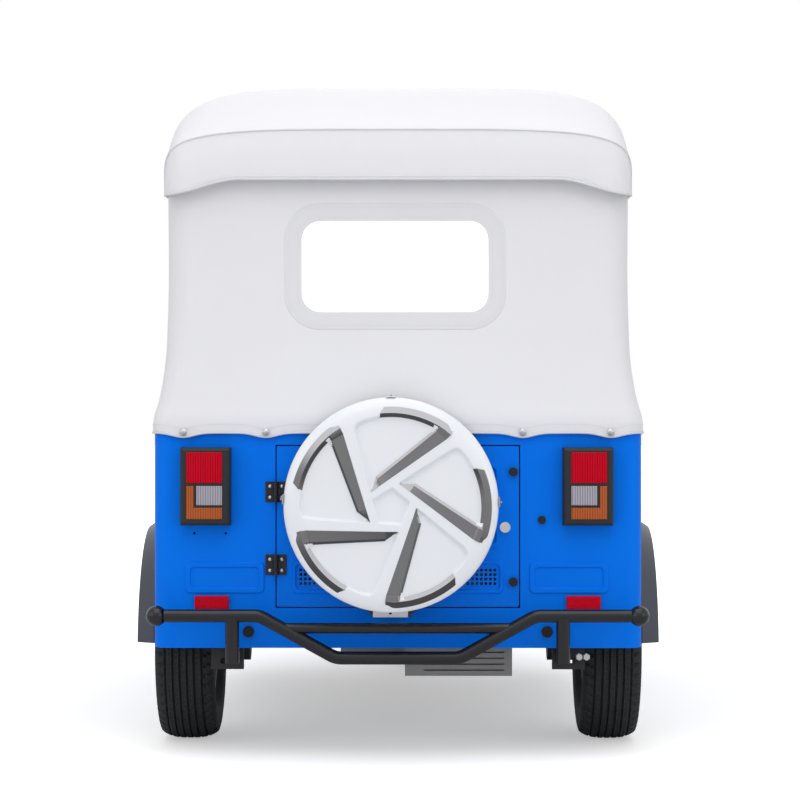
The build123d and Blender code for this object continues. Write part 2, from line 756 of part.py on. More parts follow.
def rear_bumper():
    right = [(x, BUMPER_Y, z) for x, z in BUMPER_CORNERS]
    points = [(-x, y, z) for x, y, z in right] + right[::-1]
    bumper = bent_tube(points, BUMPER_R, 55)
    bumper += rod((-285, BUMPER_Y, CROSSBAR_Z), (285, BUMPER_Y, CROSSBAR_Z), CROSSBAR_R)
    for side in (-1, 1):
        x = side * POST_X
        bumper += Pos(side * BUMPER_END, BUMPER_Y, BUMPER_Z) * Sphere(BALL_R)
        bumper += rod((x, BUMPER_Y, BUMPER_Z - 3), (x, BUMPER_Y, 240), 17)
        bumper += box(x - 14, x + 14, BUMPER_Y, REAR_Y + SHEET, 236, 262)
    return bumper


save("rear_bumper", rear_bumper())


# Engine block with its finned sump, exhaust box
ENGINE_X0 = -150.0
ENGINE_X1 = 285.0
ENGINE_Y0 = REAR_AXLE_Y - 240
ENGINE_Y1 = REAR_AXLE_Y + 60
SUMP_TOP = 262.0
HOUSING_HALF = 45.0
HOUSING_LOW = TYRE_R - 32.0
SUMP_LOW = 188.0
SUMP_X0 = 17.0
SUMP_SLOTS = 4
SUMP_PITCH = (SUMP_TOP - SUMP_LOW) / (SUMP_SLOTS + 1)
SUMP_SLOT_H = 4.0


def engine_block():
    rail_clear = RAIL_X - RAIL_SIZE / 2 - MOVING_GAP
    block = box(ENGINE_X0, rail_clear, ENGINE_Y0, ENGINE_Y1, SUMP_TOP, 520)
    axle = REAR_AXLE_Y
    block += box(ENGINE_X0, rail_clear, axle - HOUSING_HALF, axle + HOUSING_HALF, HOUSING_LOW, SUMP_TOP + 1)
    sump_rear = ENGINE_Y0 - 20
    block += box(SUMP_X0, ENGINE_X1, sump_rear, ENGINE_Y1 - 40, SUMP_LOW, SUMP_TOP + 1)
    for i in range(SUMP_SLOTS):
        low = SUMP_LOW + (i + 1) * SUMP_PITCH - SUMP_SLOT_H / 2
        block -= box(SUMP_X0 + 48, ENGINE_X1 - 20, sump_rear - 1, sump_rear + 12, low, low + SUMP_SLOT_H)
    end = rail_clear + 6 - SEAT_GAP
    low = RAIL_LOW + KICK_UP + 10
    return block + box(-end, end, ENGINE_Y1 - 20, ENGINE_Y1 + 20, low, low + RAIL_SIZE - 20)


save("engine_block", engine_block())
MUFFLER_Y = ENGINE_Y0 + 70
MUFFLER_Z = 425.0
muffler = rod((-390, MUFFLER_Y, MUFFLER_Z), (-180, MUFFLER_Y, MUFFLER_Z), 50)
muffler += rod((-185, MUFFLER_Y, MUFFLER_Z), (ENGINE_X0 - SEAT_GAP, MUFFLER_Y, MUFFLER_Z), 18)
save("muffler", muffler)


# Rear suspension: trailing arms with hub carriers and stub axles, dampers, drive shafts
ARM_X = WHEEL_X - 165.0
CARRIER_IN = WHEEL_X - 153.0
CARRIER_OUT = WHEEL_X - 87.0
CARRIER_R = 52.0
ARM_PIVOT_Y = REAR_AXLE_Y + 300
STUB_END = WHEEL_X + 1.0
DAMPER_X = WHEEL_X - 131.0
DAMPER_FOOT = TYRE_R + 75.0


def trailing_arm():
    arm = rod((CARRIER_IN, REAR_AXLE_Y, TYRE_R), (CARRIER_OUT, REAR_AXLE_Y, TYRE_R), CARRIER_R)
    arm += rod((CARRIER_OUT - 1, REAR_AXLE_Y, TYRE_R), (STUB_END, REAR_AXLE_Y, TYRE_R), STUB_R)
    arm += rod((CARRIER_IN + 16, REAR_AXLE_Y + 30, TYRE_R), (ARM_X, ARM_PIVOT_Y, TYRE_R), 22)
    arm += rod((RAIL_OUT + SEAT_GAP, ARM_PIVOT_Y, TYRE_R + 5), (ARM_X + 40, ARM_PIVOT_Y, TYRE_R + 5), 24)
    arm += rod((DAMPER_X, REAR_AXLE_Y, TYRE_R), (DAMPER_X, REAR_AXLE_Y, DAMPER_FOOT), 12)
    return arm


save("trailing_arms", both_sides(trailing_arm()))


def damper():
    foot = DAMPER_FOOT + SEAT_GAP
    top = SHELF_Z - BULK_T - SEAT_GAP
    steps = ((foot, foot + 40, 16), (foot + 30, foot + 152, 26), (foot + 150, foot + 172, 17), (foot + 170, top, 12))
    body = None
    for low, high, radius in steps:
        stage = rod((DAMPER_X, REAR_AXLE_Y, low), (DAMPER_X, REAR_AXLE_Y, high), radius)
        body = stage if body is None else body + stage
    return body


save("dampers", both_sides(damper()))
SHAFT_R = 13.0
left_shaft = rod((-CARRIER_IN + SEAT_GAP, REAR_AXLE_Y, TYRE_R), (ENGINE_X0 - SEAT_GAP, REAR_AXLE_Y, TYRE_R), SHAFT_R)
right_start = ENGINE_X1 + SEAT_GAP
right_shaft = rod((right_start, REAR_AXLE_Y, TYRE_R), (CARRIER_IN - SEAT_GAP, REAR_AXLE_Y, TYRE_R), SHAFT_R)
save("drive_shafts", Compound(children=[left_shaft, right_shaft]))


# Wheels
def tyre():
    """A road tyre of one section: sidewalls from the bead to the shoulder and a crowned tread."""
    half = TYRE_W / 2
    bead = RIM_W / 2 - RIM_WALL
    low = RIM_R + SEAT_GAP
    side = [(bead, low), (bead, RIM_R + 13), (half, RIM_R + 54), (half - 18, TYRE_R - 4)]
    outline = Polyline(*[(-x, r) for x, r in side])
    outline += ThreePointArc((18 - half, TYRE_R - 4), (0, TYRE_R), (half - 18, TYRE_R - 4))
    outline += Polyline(*side[::-1])
    outline += Line(side[0], (-bead, low))
    return revolve(make_face(outline), Axis.X, 360)


def rim(bore):
    """A pressed steel wheel whose disc faces +X, with a hub bored for the stub."""
    half = RIM_W / 2
    seat = half - RIM_WALL + SEAT_GAP
    flange = RIM_R + 12
    face = 12.0
    outline = Polyline(
        (-half, RIM_R - 14),
        (-half, flange),
        (-seat, flange),
        (-seat, RIM_R),
        (seat, RIM_R),
        (seat, flange),
        (half, flange),
        (half, RIM_R - 14),
        (face + 16, RIM_R - 44),
        (face + 4, HUB_R),
        (face + 14, HUB_R - 6),
        (face + 14, bore),
        (-22, bore),
        (-22, HUB_R - 6),
        (face - 4, HUB_R),
        (face + 6, RIM_R - 44),
        (half - 30, RIM_R - 14),
        close=True,
    )
    return revolve(make_face(outline), Axis.X, 360)


STUB_CLEAR = 0.3
for node, x in (("rear_left", -WHEEL_X), ("rear_right", WHEEL_X)):
    turn = Rot(0, 0, 180) if x < 0 else Rot(0, 0, 0)
    place = Pos(x, REAR_AXLE_Y, TYRE_R)
    save(node + "_tyre", place * (turn * tyre()))
    save(node + "_rim", place * (turn * rim(STUB_R + STUB_CLEAR)))
AXLE_PLACE = Pos(0, FRONT_AXLE_Y, TYRE_R)
PIN_R = 12.0
save("front_tyre", AXLE_PLACE * tyre())
save("front_rim", AXLE_PLACE * rim(PIN_R + STUB_CLEAR))


# Front fork: two legs, crown, column and axle pin
def front_fork():
    fork = Pos(0, FORK_OFFSET - 5, CROWN_Z + 14) * Box(2 * FORK_LEG_X + 20, 62, 28)
    fork = fillet(fork.edges().filter_by(Axis.Z), 10)
    for side in (-1, 1):
        x = side * FORK_LEG_X
        fork += rod((x, FORK_OFFSET, -28), (x, FORK_OFFSET, CROWN_Z + 5), FORK_LEG_R)
    fork += rod((-FORK_LEG_X - 24, FORK_OFFSET, 0), (FORK_LEG_X + 24, FORK_OFFSET, 0), PIN_R)
    fork += rod((0, 0, CROWN_Z + 20), (0, 0, BAR_Z - 14), COLUMN_R)
    return STEER * fork


save("front_fork", front_fork())


def handlebar():
    points = [(-BAR_HALF, -95, 10), (-150, -20, 34), (-60, 0, 0), (60, 0, 0), (150, -20, 34), (BAR_HALF, -95, 10)]
    bar = bent_tube([(x, y, z + BAR_Z) for x, y, z in points], BAR_R, 30)
    bar += rod((0, 0, BAR_Z - 14 + SEAT_GAP), (0, 0, BAR_Z + 22), 26)
    return STEER * bar


save("handlebar", handlebar())


def grip():
    start = Vector(BAR_HALF, -95, 10 + BAR_Z)
    along = (Vector(150, -20, 34 + BAR_Z) - start).normalized()
    inner = start + along * 8
    outer = start - along * 2
    end = start + along * 125
    sleeve = rod(tuple(inner), tuple(end), BAR_R + 6) - rod(tuple(outer), tuple(end + along), BAR_R + SEAT_GAP)
    return sleeve


save("grips", STEER * both_sides(grip()))


def front_mudguard():
    inner = TYRE_R + GUARD_GAP
    outer = inner + GUARD_WALL
    half = GUARD_W / 2
    shell = Cylinder(outer, 2 * half) - Cylinder(inner, 2 * half - 2 * GUARD_WALL)
    shell -= Cylinder(inner - 26, 2 * half + 2)
    shell = Rot(0, 90, 0) * shell
    sector = Polyline((0, 0), (-400, 60), (-400, 600), (400, 600), (400, 200), (0, 0))
    keep = extrude(Plane.YZ * make_face(sector), half + 5, both=True)
    guard = AXLE_PLACE * (shell & keep)
    tab = STEER * box(-40, 40, FORK_OFFSET - 25, FORK_OFFSET + 15, TYRE_R + GUARD_GAP + 1, CROWN_Z - SEAT_GAP)
    return guard + tab


save("front_mudguard", front_mudguard())


# Rear door: panel, vent, hinges, lock, spare carrier, spare wheel and cover
VENT_X = DOOR_HALF - 147.0
VENT_HALF = 97.0
VENT_LOW = 420.0
VENT_HIGH = 469.0
VENT_PITCH = 11.0
VENT_HOLE = 7.0
VENT_ROWS = 4
VENT_COLUMNS = 17
# Ridges pressed in the door: half width, low Z, high Z
DOOR_RIDGES = ((DOOR_HALF - 47.0, 515.0, 722.0), (DOOR_HALF - 37.0, 403.0, 486.0))
RIDGE_EDGE = 11.0
SPINE_HALF = 30.0


def door_panel():
    door = box(-DOOR_HALF, DOOR_HALF, REAR_Y, REAR_Y + SHEET, DOOR_LOW, DOOR_HIGH)
    door = fillet(door.edges().filter_by(Axis.Y), 4)
    for half, low, high in DOOR_RIDGES:
        ridge = Pos(0, REAR_Y, (low + high) / 2) * pressed_frame(half, (high - low) / 2, RIDGE_EDGE)
        spine = SPINE_HALF + 2
        door += ridge - box(SPARE_X - spine, SPARE_X + spine, REAR_Y - 10, REAR_Y, low - 1, high + 1)
    door -= box(-DOOR_HALF + 24, DOOR_HALF - 24, REAR_Y + 5, REAR_Y + SHEET + 1, DOOR_LOW + 24, DOOR_HIGH - 24)
    for x in (-VENT_X, VENT_X):
        door -= box(x - VENT_HALF, x + VENT_HALF, REAR_Y - 1, REAR_Y + 6, VENT_LOW, VENT_HIGH)
    return door


save("door_panel", door_panel())


def vent_mesh():
    half = VENT_HALF - SEAT_GAP
    middle = (VENT_LOW + VENT_HIGH) / 2
    parts = []
    for x in (-VENT_X, VENT_X):
        panel = box(x - half, x + half, REAR_Y + 1, REAR_Y + 4, VENT_LOW + SEAT_GAP, VENT_HIGH - SEAT_GAP)
        spots = GridLocations(VENT_PITCH, VENT_PITCH, VENT_COLUMNS, VENT_ROWS)
        plane = Plane((x, REAR_Y + 5, middle), x_dir=(1, 0, 0), z_dir=(0, -1, 0))
        holes = extrude(plane * (Sketch() + spots * Rectangle(VENT_HOLE, VENT_HOLE)), 6)
        parts.append(panel - holes)
    return Compound(children=parts)


save("vent_mesh", vent_mesh())

HINGE_X = -DOOR_HALF - DOOR_GAP / 2
HINGE_Y = REAR_Y - HINGE_OUT
LEAF_T = 3.0


def hinge_leaf(side, z):
    """One leaf and its knuckles: side -1 is on the body, side 1 on the door."""
    ends = sorted((HINGE_X + side * 3, HINGE_X + side * HINGE_W / 2))
    leaf = box(ends[0], ends[1], REAR_Y - SEAT_GAP - LEAF_T, REAR_Y - SEAT_GAP, z - HINGE_H / 2, z + HINGE_H / 2)
    spans = ((-25.0, -9.0), (9.0, 25.0)) if side < 0 else ((-8.7, 8.7),)
    for low, high in spans:
        leaf += rod((HINGE_X, HINGE_Y, z + low), (HINGE_X, HINGE_Y, z + high), HINGE_R)
        web = sorted((HINGE_X, HINGE_X + side * 10))
        leaf += box(web[0], web[1], HINGE_Y, REAR_Y - SEAT_GAP, z + low, z + high)
    return leaf


save("body_hinges", Compound(children=[hinge_leaf(-1, z) for z in HINGE_HEIGHTS]))
save("door_hinges", Compound(children=[hinge_leaf(1, z) for z in HINGE_HEIGHTS]))


# Door fittings
def disc(x, z, radius, out):
    """A round fitting that stands out of the rear face."""
    return rod((x, REAR_Y - SEAT_GAP, z), (x, REAR_Y - out, z), radius)


BUFFER_X = DOOR_HALF - 14.0
LOCK_X = DOOR_HALF - 34.0
GROMMET_X = 366.0
buffers = [disc(BUFFER_X, z, 11, 10) for z in (DOOR_HIGH - 63, DOOR_LOW + 61)]
save("door_buffers", Compound(children=buffers))
save("door_lock", disc(LOCK_X, 566, 10, 9) + disc(LOCK_X, 566, 13, 3))
plugs = [disc(DOOR_HALF + 56, 584, 10, 5)] + [disc(x, 310, 14, 6) for x in (-GROMMET_X, GROMMET_X)]
save("body_plugs", Compound(children=plugs))

# Spare wheel, its carrier and its cover
CARRIER_PLATE = REAR_Y - CARRIER_GAP + 2
SPARE_Y = REAR_Y - CARRIER_GAP - 2 - TYRE_W / 2
FOOT_TOP = SPARE_Z - COVER_R - SEAT_GAP
FOOT_LOW = 350.0
FOOT_OUT = 52.0
FOOT_HALF = 42.0
HUB_BACK = 22.0


def spare_carrier():
    x = SPARE_X
    carrier = box(x - 110, x + 110, CARRIER_PLATE, REAR_Y - SEAT_GAP, SPARE_Z - 45, SPARE_Z + 45)
    carrier += box(x - SPINE_HALF, x + SPINE_HALF, CARRIER_PLATE, REAR_Y - SEAT_GAP, FOOT_LOW + 3, SPARE_Z + 100)
    carrier += rod((x, CARRIER_PLATE, SPARE_Z), (x, SPARE_Y + HUB_BACK + SEAT_GAP, SPARE_Z), HUB_R)
    outline = Polyline(
        (x - FOOT_HALF, FOOT_LOW), (x + FOOT_HALF, FOOT_LOW), (x + 66, FOOT_TOP), (x - 66, FOOT_TOP), close=True
    )
    carrier += extrude(Plane.XZ.offset(-REAR_Y + 4) * make_face(outline), FOOT_OUT - 6)
    return carrier


save("spare_carrier", spare_carrier())
save(
    "carrier_plate",
    box(SPARE_X - 45, SPARE_X + 40, REAR_Y - FOOT_OUT - 3, REAR_Y - FOOT_OUT + 1.7, FOOT_LOW, FOOT_TOP),
)
SPARE_PLACE = Pos(SPARE_X, SPARE_Y, SPARE_Z) * Rot(0, 0, -90)
save("spare_tyre", SPARE_PLACE * tyre())
save("spare_rim", SPARE_PLACE * rim(PIN_R))


# Pinwheel pressed in the cover: five arms, each a grey leg beside a raised band.
# Angles turn anticlockwise from the right as seen from behind. Each edge line has a direction,
# measured from its arm's own angle, and a distance from the pinwheel's middle.
ARMS = 5
FIRST_ARM = 52.5
PIN_DROP = 5.0
BAND_LINE = (161.0, 0.152 * COVER_R)
LEG_LINE = (163.4, 0.224 * COVER_R)
PANEL_LINE = (167.2, 0.291 * COVER_R)
PANEL_R = 0.85 * COVER_R
RIM_LEG_R = 0.935 * COVER_R
RIM_LEG_SWEEP = 44.0
LEG_DROP = 3.0
LEG_END = 0.075 * COVER_R
LEG_STEP = -0.05 * COVER_R
COVER_EDGE_W = 0.17 * COVER_R
COVER_EDGE_H = 24.0


def beyond(line, arm, side):
    """The half-plane on one side of an arm's edge line; side -1 is away from the middle."""
    direction, distance = line
    angle = FIRST_ARM + 360 / ARMS * arm + direction
    return Rot(0, 0, angle) * Pos(0, -distance + side * COVER_R) * Rectangle(4 * COVER_R, 2 * COVER_R)


def sunk_panels():
    """Five panels between an arm's leg and the next arm's band, and the middle between all bands."""
    middle = Sketch() + [Circle(COVER_R)]
    panels = []
    for arm in range(ARMS):
        panel = Circle(PANEL_R) & beyond(PANEL_LINE, arm, -1) & beyond(BAND_LINE, arm + 1, 1)
        panels.append(fillet(panel.vertices(), 0.06 * COVER_R))
        middle &= beyond(BAND_LINE, arm, 1)
    return panels + [middle]


def sunk_legs():
    """Five legs: a strip along the rim, then a tapered strip that narrows to a point."""
    legs = []
    for arm in range(ARMS):
        angle = FIRST_ARM + 360 / ARMS * arm
        strip = Circle(RIM_LEG_R) & beyond(LEG_LINE, arm, -1) & beyond(PANEL_LINE, arm, 1)
        stop = Rot(0, 0, angle + LEG_LINE[0]) * Pos(LEG_STEP - COVER_R, 0) * Rectangle(2 * COVER_R, 2 * COVER_R)
        start = Vector(LEG_STEP, -LEG_LINE[1], 0)
        width = PANEL_LINE[1] - LEG_LINE[1]
        nib = make_face(Polyline(start, (LEG_END, -LEG_LINE[1]), (LEG_STEP, -LEG_LINE[1] - width), close=True))
        wedge = make_face(
            Polyline((0, 0), on_circle(angle, 2 * COVER_R), on_circle(angle + RIM_LEG_SWEEP, 2 * COVER_R), close=True)
        )
        rim_leg = (Circle(RIM_LEG_R) - Circle(PANEL_R)) & wedge
        legs += [strip & stop, Rot(0, 0, angle + LEG_LINE[0]) * nib, rim_leg]
    return legs


def on_circle(angle, radius):
    """A point of a circle about the origin."""
    return radius * math.cos(math.radians(angle)), radius * math.sin(math.radians(angle))


def spare_cover():
    """A cup over the spare tyre whose thick face is pressed with the pinwheel."""
    inner = COVER_DEPTH
    face = COVER_DEPTH + COVER_WALL + COVER_RELIEF
    bend = COVER_EDGE_H * 0.3
    outline = Polyline((COVER_R - COVER_WALL, 0), (COVER_R, 0), (COVER_R, -face + COVER_EDGE_H))
    outline += ThreePointArc(
        (COVER_R, -face + COVER_EDGE_H),
        (COVER_R - bend, -face + bend),
        (COVER_R - COVER_EDGE_W, -face),
    )
    outline += Polyline((COVER_R - COVER_EDGE_W, -face), (0, -face), (0, -inner), (COVER_R - 22, -inner))
    outline += Polyline((COVER_R - 22, -inner), (COVER_R - COVER_WALL, -inner + 16), (COVER_R - COVER_WALL, 0))
    cup = revolve(make_face(outline), Axis.Y, 360)
    plane = Plane((0, -face, -PIN_DROP), x_dir=(1, 0, 0), z_dir=(0, -1, 0))
    for shape, depth in [(p, COVER_RELIEF) for p in sunk_panels()] + [(leg, LEG_DROP) for leg in sunk_legs()]:
        cup -= extrude(plane * shape, -depth)
    cup = cup.solids().sort_by(SortBy.VOLUME)[-1]
    return Pos(SPARE_X, REAR_Y - CARRIER_GAP, SPARE_Z) * cup


save("spare_cover", spare_cover())

# Sills between the tub and the cowl
sill = box(SIDE_HALF + SEAT_GAP, HALF_BODY - 2, QUARTER_Y + SEAT_GAP, COWL_BACK - SEAT_GAP, BODY_BOTTOM, FLOOR_Z + FLOOR_T)
save("side_sills", both_sides(sill))

# Mirrors on the windscreen frame
MIRROR_Z = 1200.0
MIRROR_REACH = 64.0


def mirror_arm():
    share = (MIRROR_Z - SCREEN_BASE_Z) / (SCREEN_TOP_Z - SCREEN_BASE_Z)
    y = SCREEN_BASE_Y + (SCREEN_TOP_Y - SCREEN_BASE_Y) * share
    root = SCREEN_W / 2 + 3 * SEAT_GAP
    knee = root + MIRROR_REACH
    head = (knee + 20, y + 10, MIRROR_Z + 90)
    arm = bent_tube([(root, y, MIRROR_Z), (knee, y, MIRROR_Z), head], 6, 18)
    shell = Pos(knee + 20, y + 10, MIRROR_Z + 120) * Box(110, 26, 160)
    shell = fillet(shell.edges().filter_by(Axis.Y), 30)
    return arm + shell


save("mirrors", both_sides(mirror_arm()))


# Headlamps and front indicators in the cowl
HEADLAMP_FACE = FRONT_AXLE_Y + 22.0
INDICATOR_FACE = FRONT_AXLE_Y - 30.0
BEZEL_T = 8.0


def nose_lamp(x, face, radius, depth):
    """A round bucket with a hollow front and its rim."""
    bucket = rod((x, face - depth, HEADLAMP_Z), (x, face, HEADLAMP_Z), radius)
    return bucket - rod((x, face - 30, HEADLAMP_Z), (x, face + 1, HEADLAMP_Z), radius - BEZEL_T)


def nose_lens(x, face, radius):
    """A shallow domed lens that fills the bucket's front."""
    inner = radius - BEZEL_T - SEAT_GAP
    lens = rod((x, face - 30 + SEAT_GAP, HEADLAMP_Z), (x, face + 6, HEADLAMP_Z), inner)
    return fillet(lens.faces().sort_by(Axis.Y)[-1].edges(), 5)


lamps = nose_lamp(HEADLAMP_X, HEADLAMP_FACE, HEADLAMP_R, 90)
save("headlamps", both_sides(lamps))
save("headlamp_lenses", both_sides(nose_lens(HEADLAMP_X, HEADLAMP_FACE, HEADLAMP_R)))
indicator = rod((INDICATOR_X, INDICATOR_FACE - 80, HEADLAMP_Z), (INDICATOR_X, INDICATOR_FACE, HEADLAMP_Z), INDICATOR_R)
save("front_indicators", both_sides(fillet(indicator.faces().sort_by(Axis.Y)[-1].edges(), 9)))
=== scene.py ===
import logging
import math
from dataclasses import dataclass
from enum import Enum

import bmesh
import bpy
import numpy as np
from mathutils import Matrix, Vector


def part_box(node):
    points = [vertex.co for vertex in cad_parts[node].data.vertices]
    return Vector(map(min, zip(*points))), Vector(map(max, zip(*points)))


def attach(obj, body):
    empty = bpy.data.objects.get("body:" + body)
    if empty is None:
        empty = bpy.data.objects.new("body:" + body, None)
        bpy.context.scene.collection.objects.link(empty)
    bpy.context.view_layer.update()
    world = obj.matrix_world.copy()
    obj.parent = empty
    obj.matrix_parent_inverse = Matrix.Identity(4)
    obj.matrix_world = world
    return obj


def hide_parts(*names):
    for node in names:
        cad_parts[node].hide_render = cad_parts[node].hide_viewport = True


# An auto rickshaw seen from behind: a blue tub, a white canvas hood and a covered spare wheel.
# Metres, +Y forward, +X to the right, +Z up, with the ground at zero.

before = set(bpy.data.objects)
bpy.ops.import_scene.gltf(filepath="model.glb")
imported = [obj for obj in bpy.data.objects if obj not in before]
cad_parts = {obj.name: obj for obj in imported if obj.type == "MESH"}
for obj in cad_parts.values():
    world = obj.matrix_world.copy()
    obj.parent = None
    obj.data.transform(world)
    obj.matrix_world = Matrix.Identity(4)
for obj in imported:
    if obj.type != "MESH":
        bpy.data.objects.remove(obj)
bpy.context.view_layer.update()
LOG = logging.getLogger("rickshaw")
Array = np.ndarray


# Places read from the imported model
def low(node: str) -> Vector:
    """Lowest corner of a solid's box."""
    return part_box(node)[0]


def high(node: str) -> Vector:
    """Highest corner of a solid's box."""
    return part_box(node)[1]


REAR = low("rear_tub").y
SPARE_X = (low("spare_tyre").x + high("spare_tyre").x) / 2
SPARE_Z = (low("spare_tyre").z + high("spare_tyre").z) / 2
WALL_FRONT = high("canopy_walls").y
ROOF_FRONT = high("canopy_roof").y
BODY_HALF = high("rear_tub").x
CIRCLE = 2 * math.pi

TYRE_BODIES = {
    "front_tyre": "front_wheel",
    "rear_left_tyre": "rear_left_wheel",
    "rear_right_tyre": "rear_right_wheel",
}


class Axis(Enum):
    """The axis that a profile is turned about."""

    X = 0
    Y = 1
    Z = 2


# Surfaces as arrays of points and quads
@dataclass
class Shell:
    """One surface: its points in metres and its quads.

    Args:
        points: An array of n points by 3.
        quads: An array of m faces by 4 point numbers.
    """

    points: Array
    quads: Array


def patch(points: Array, around: bool = False) -> Shell:
    """Quads over a grid of points.

    Args:
        points: A grid of rows by columns by 3.
        around: Whether the last column joins the first.

    Returns:
        The surface over the grid.
    """
    rows, columns = points.shape[:2]
    index = np.arange(rows * columns).reshape(rows, columns)
    if around:
        index = np.hstack([index, index[:, :1]])
    corners = [index[:-1, :-1], index[1:, :-1], index[1:, 1:], index[:-1, 1:]]
    return Shell(points.reshape(-1, 3), np.stack(corners, -1).reshape(-1, 4))


def joined(*shells: Shell) -> Shell:
    """Several surfaces as one.

    Args:
        shells: The surfaces, in order.

    Returns:
        One surface with all their points and quads.
    """
    starts = np.cumsum([0] + [len(s.points) for s in shells[:-1]])
    quads = [s.quads + start for s, start in zip(shells, starts)]
    return Shell(np.concatenate([s.points for s in shells]), np.concatenate(quads))


def moved(shell: Shell, offset: tuple[float, float, float]) -> Shell:
    """The surface shifted by one offset."""
    return Shell(shell.points + np.array(offset), shell.quads)


def mirrored(shell: Shell) -> Shell:
    """The surface across the middle plane, with its faces turned back outwards."""
    return Shell(shell.points * np.array([-1.0, 1.0, 1.0]), shell.quads[:, ::-1])


def both_sides(shell: Shell) -> Shell:
    """The surface and its mirror image."""
    return joined(shell, mirrored(shell))


def copies(shell: Shell, places: Array, frames: Array | None = None) -> Shell:
    """One small surface set at many places.

    A copied point is its place plus the small surface's point turned by that place's frame.

    Args:
        shell: The small surface, about its own origin.
        places: n places by 3.
        frames: n turning matrices, whose rows are the small surface's X, Y and Z axes.

    Returns:
        All the copies as one surface.
    """
    count = len(places)
    if frames is None:
        points = np.broadcast_to(shell.points, (count,) + shell.points.shape)
    else:
        points = np.einsum("pi,nij->npj", shell.points, frames)
    points = points + places[:, None, :]
    starts = np.arange(count)[:, None, None] * len(shell.points)
    return Shell(points.reshape(-1, 3), (shell.quads[None] + starts).reshape(-1, 4))


def turned(profile: Array, centre: Array, axis: Axis, segments: int = 48) -> Shell:
    """A profile turned about an axis.

    A point is its distance along the axis plus its radius times the cosine and sine of the angle.

    Args:
        profile: n pairs of distance along the axis and radius.
        centre: The place of the profile's zero.
        axis: The axis of the turn.
        segments: Steps round the axis.

    Returns:
        The turned surface, closed round the axis.
    """
    angle = np.arange(segments) * CIRCLE / segments
    along = np.repeat(profile[:, 0:1], segments, 1)
    across = profile[:, 1:2] * np.cos(angle)
    upward = profile[:, 1:2] * np.sin(angle)
    order = {
        Axis.X: (along, across, upward), Axis.Y: (upward, along, across), Axis.Z: (across, upward, along)
    }
    return patch(np.stack(order[axis], -1) + np.asarray(centre), around=True)


def even(path: Array, count: int) -> Array:
    """A path resampled at equal steps of its length.

    Args:
        path: The path's points.
        count: How many points the result has.

    Returns:
        The evenly spaced points.
    """
    steps = np.linalg.norm(np.diff(path, axis=0), axis=1)
    length = np.concatenate([[0.0], np.cumsum(steps)])
    wanted = np.linspace(0, length[-1], count)
    return np.stack([np.interp(wanted, length, path[:, i]) for i in range(path.shape[1])], -1)


def path_frames(path: Array, side: tuple[float, float, float]) -> Array:
    """Turning matrices along a path.

    The first row is the tangent, the third is the tangent crossed with a side direction, and the
    second completes a right-handed set.

    Args:
        path: The path's points.
        side: A direction that the path never runs along.

    Returns:
        One matrix for each point.
    """
    tangent = np.gradient(path, axis=0)
    tangent /= np.linalg.norm(tangent, axis=1, keepdims=True)
    up = np.cross(tangent, np.array(side))
    up /= np.linalg.norm(up, axis=1, keepdims=True)
    return np.stack([tangent, np.cross(up, tangent), up], 1)


def swept(path: Array, section: Array, side: tuple[float, float, float], capped: bool = True) -> Shell:
    """A closed section carried along a path.

    A point is the path's point plus the section's two distances along that point's frame.

    Args:
        path: The path's points.
        section: n pairs of distance to the side and upwards.
        side: A direction that the path never runs along.
        capped: Whether both ends close to their middle.

    Returns:
        The swept surface.
    """
    frames = path_frames(path, side)
    rings = (
        path[:, None]
        + section[None, :, 0:1] * frames[:, None, 1]
        + section[None, :, 1:2] * frames[:, None, 2]
    )
    if capped:
        first = np.repeat(path[:1, None], len(section), 1)
        last = np.repeat(path[-1:, None], len(section), 1)
        rings = np.concatenate([first, rings, last])
    return patch(rings, around=True)


def circle(radius: float, count: int = 12) -> Array:
    """A ring of points as a section."""
    angle = np.arange(count) * CIRCLE / count
    return radius * np.stack([np.cos(angle), np.sin(angle)], -1)


def tube(path: Array, radius: float, side: tuple[float, float, float] = (0, 1, 0), sides: int = 12) -> Shell:
    """A round tube along a path."""
    return swept(path, circle(radius, sides), side)


def smooth_path(corners: Array, count: int, rounds: int = 3) -> Array:
    """A path whose corners are cut smooth.

    Each round replaces every run's ends by the points at a quarter and three quarters of the run.

    Args:
        corners: The path's corner points.
        count: How many even points the result has.
        rounds: How often the corners are cut.

    Returns:
        The smooth path from the first corner to the last.
    """
    path = np.asarray(corners, float)
    for _ in range(rounds):
        near = path[:-1] * 0.75 + path[1:] * 0.25
        far = path[:-1] * 0.25 + path[1:] * 0.75
        cut = np.stack([near, far], 1).reshape(-1, path.shape[1])
        path = np.concatenate([path[:1], cut, path[-1:]])
    return even(path, count)


def rounded_outline(width: float, height: float, radius: float, count: int) -> Array:
    """A rectangle with round corners as evenly spaced points.

    Each corner is a quarter circle about a centre set in by the radius.

    Args:
        width: Size to the side.
        height: Size upwards.
        radius: Radius of the corners.
        count: Number of points.

    Returns:
        The outline as n pairs, anticlockwise and not repeated at its end.
    """
    angle = np.linspace(0, CIRCLE, 64, endpoint=False) + CIRCLE / 128
    centre = np.stack(
        [np.sign(np.cos(angle)) * (width / 2 - radius), np.sign(np.sin(angle)) * (height / 2 - radius)], -1
    )
    ring = centre + radius * np.stack([np.cos(angle), np.sin(angle)], -1)
    return even(np.concatenate([ring, ring[:1]]), count + 1)[:-1]


def smoothstep(value: Array, start: float, end: float) -> Array:
    """Zero before start, one after end and a smooth cubic between."""
    share = np.clip((value - start) / (end - start), 0, 1)
    return share * share * (3 - 2 * share)


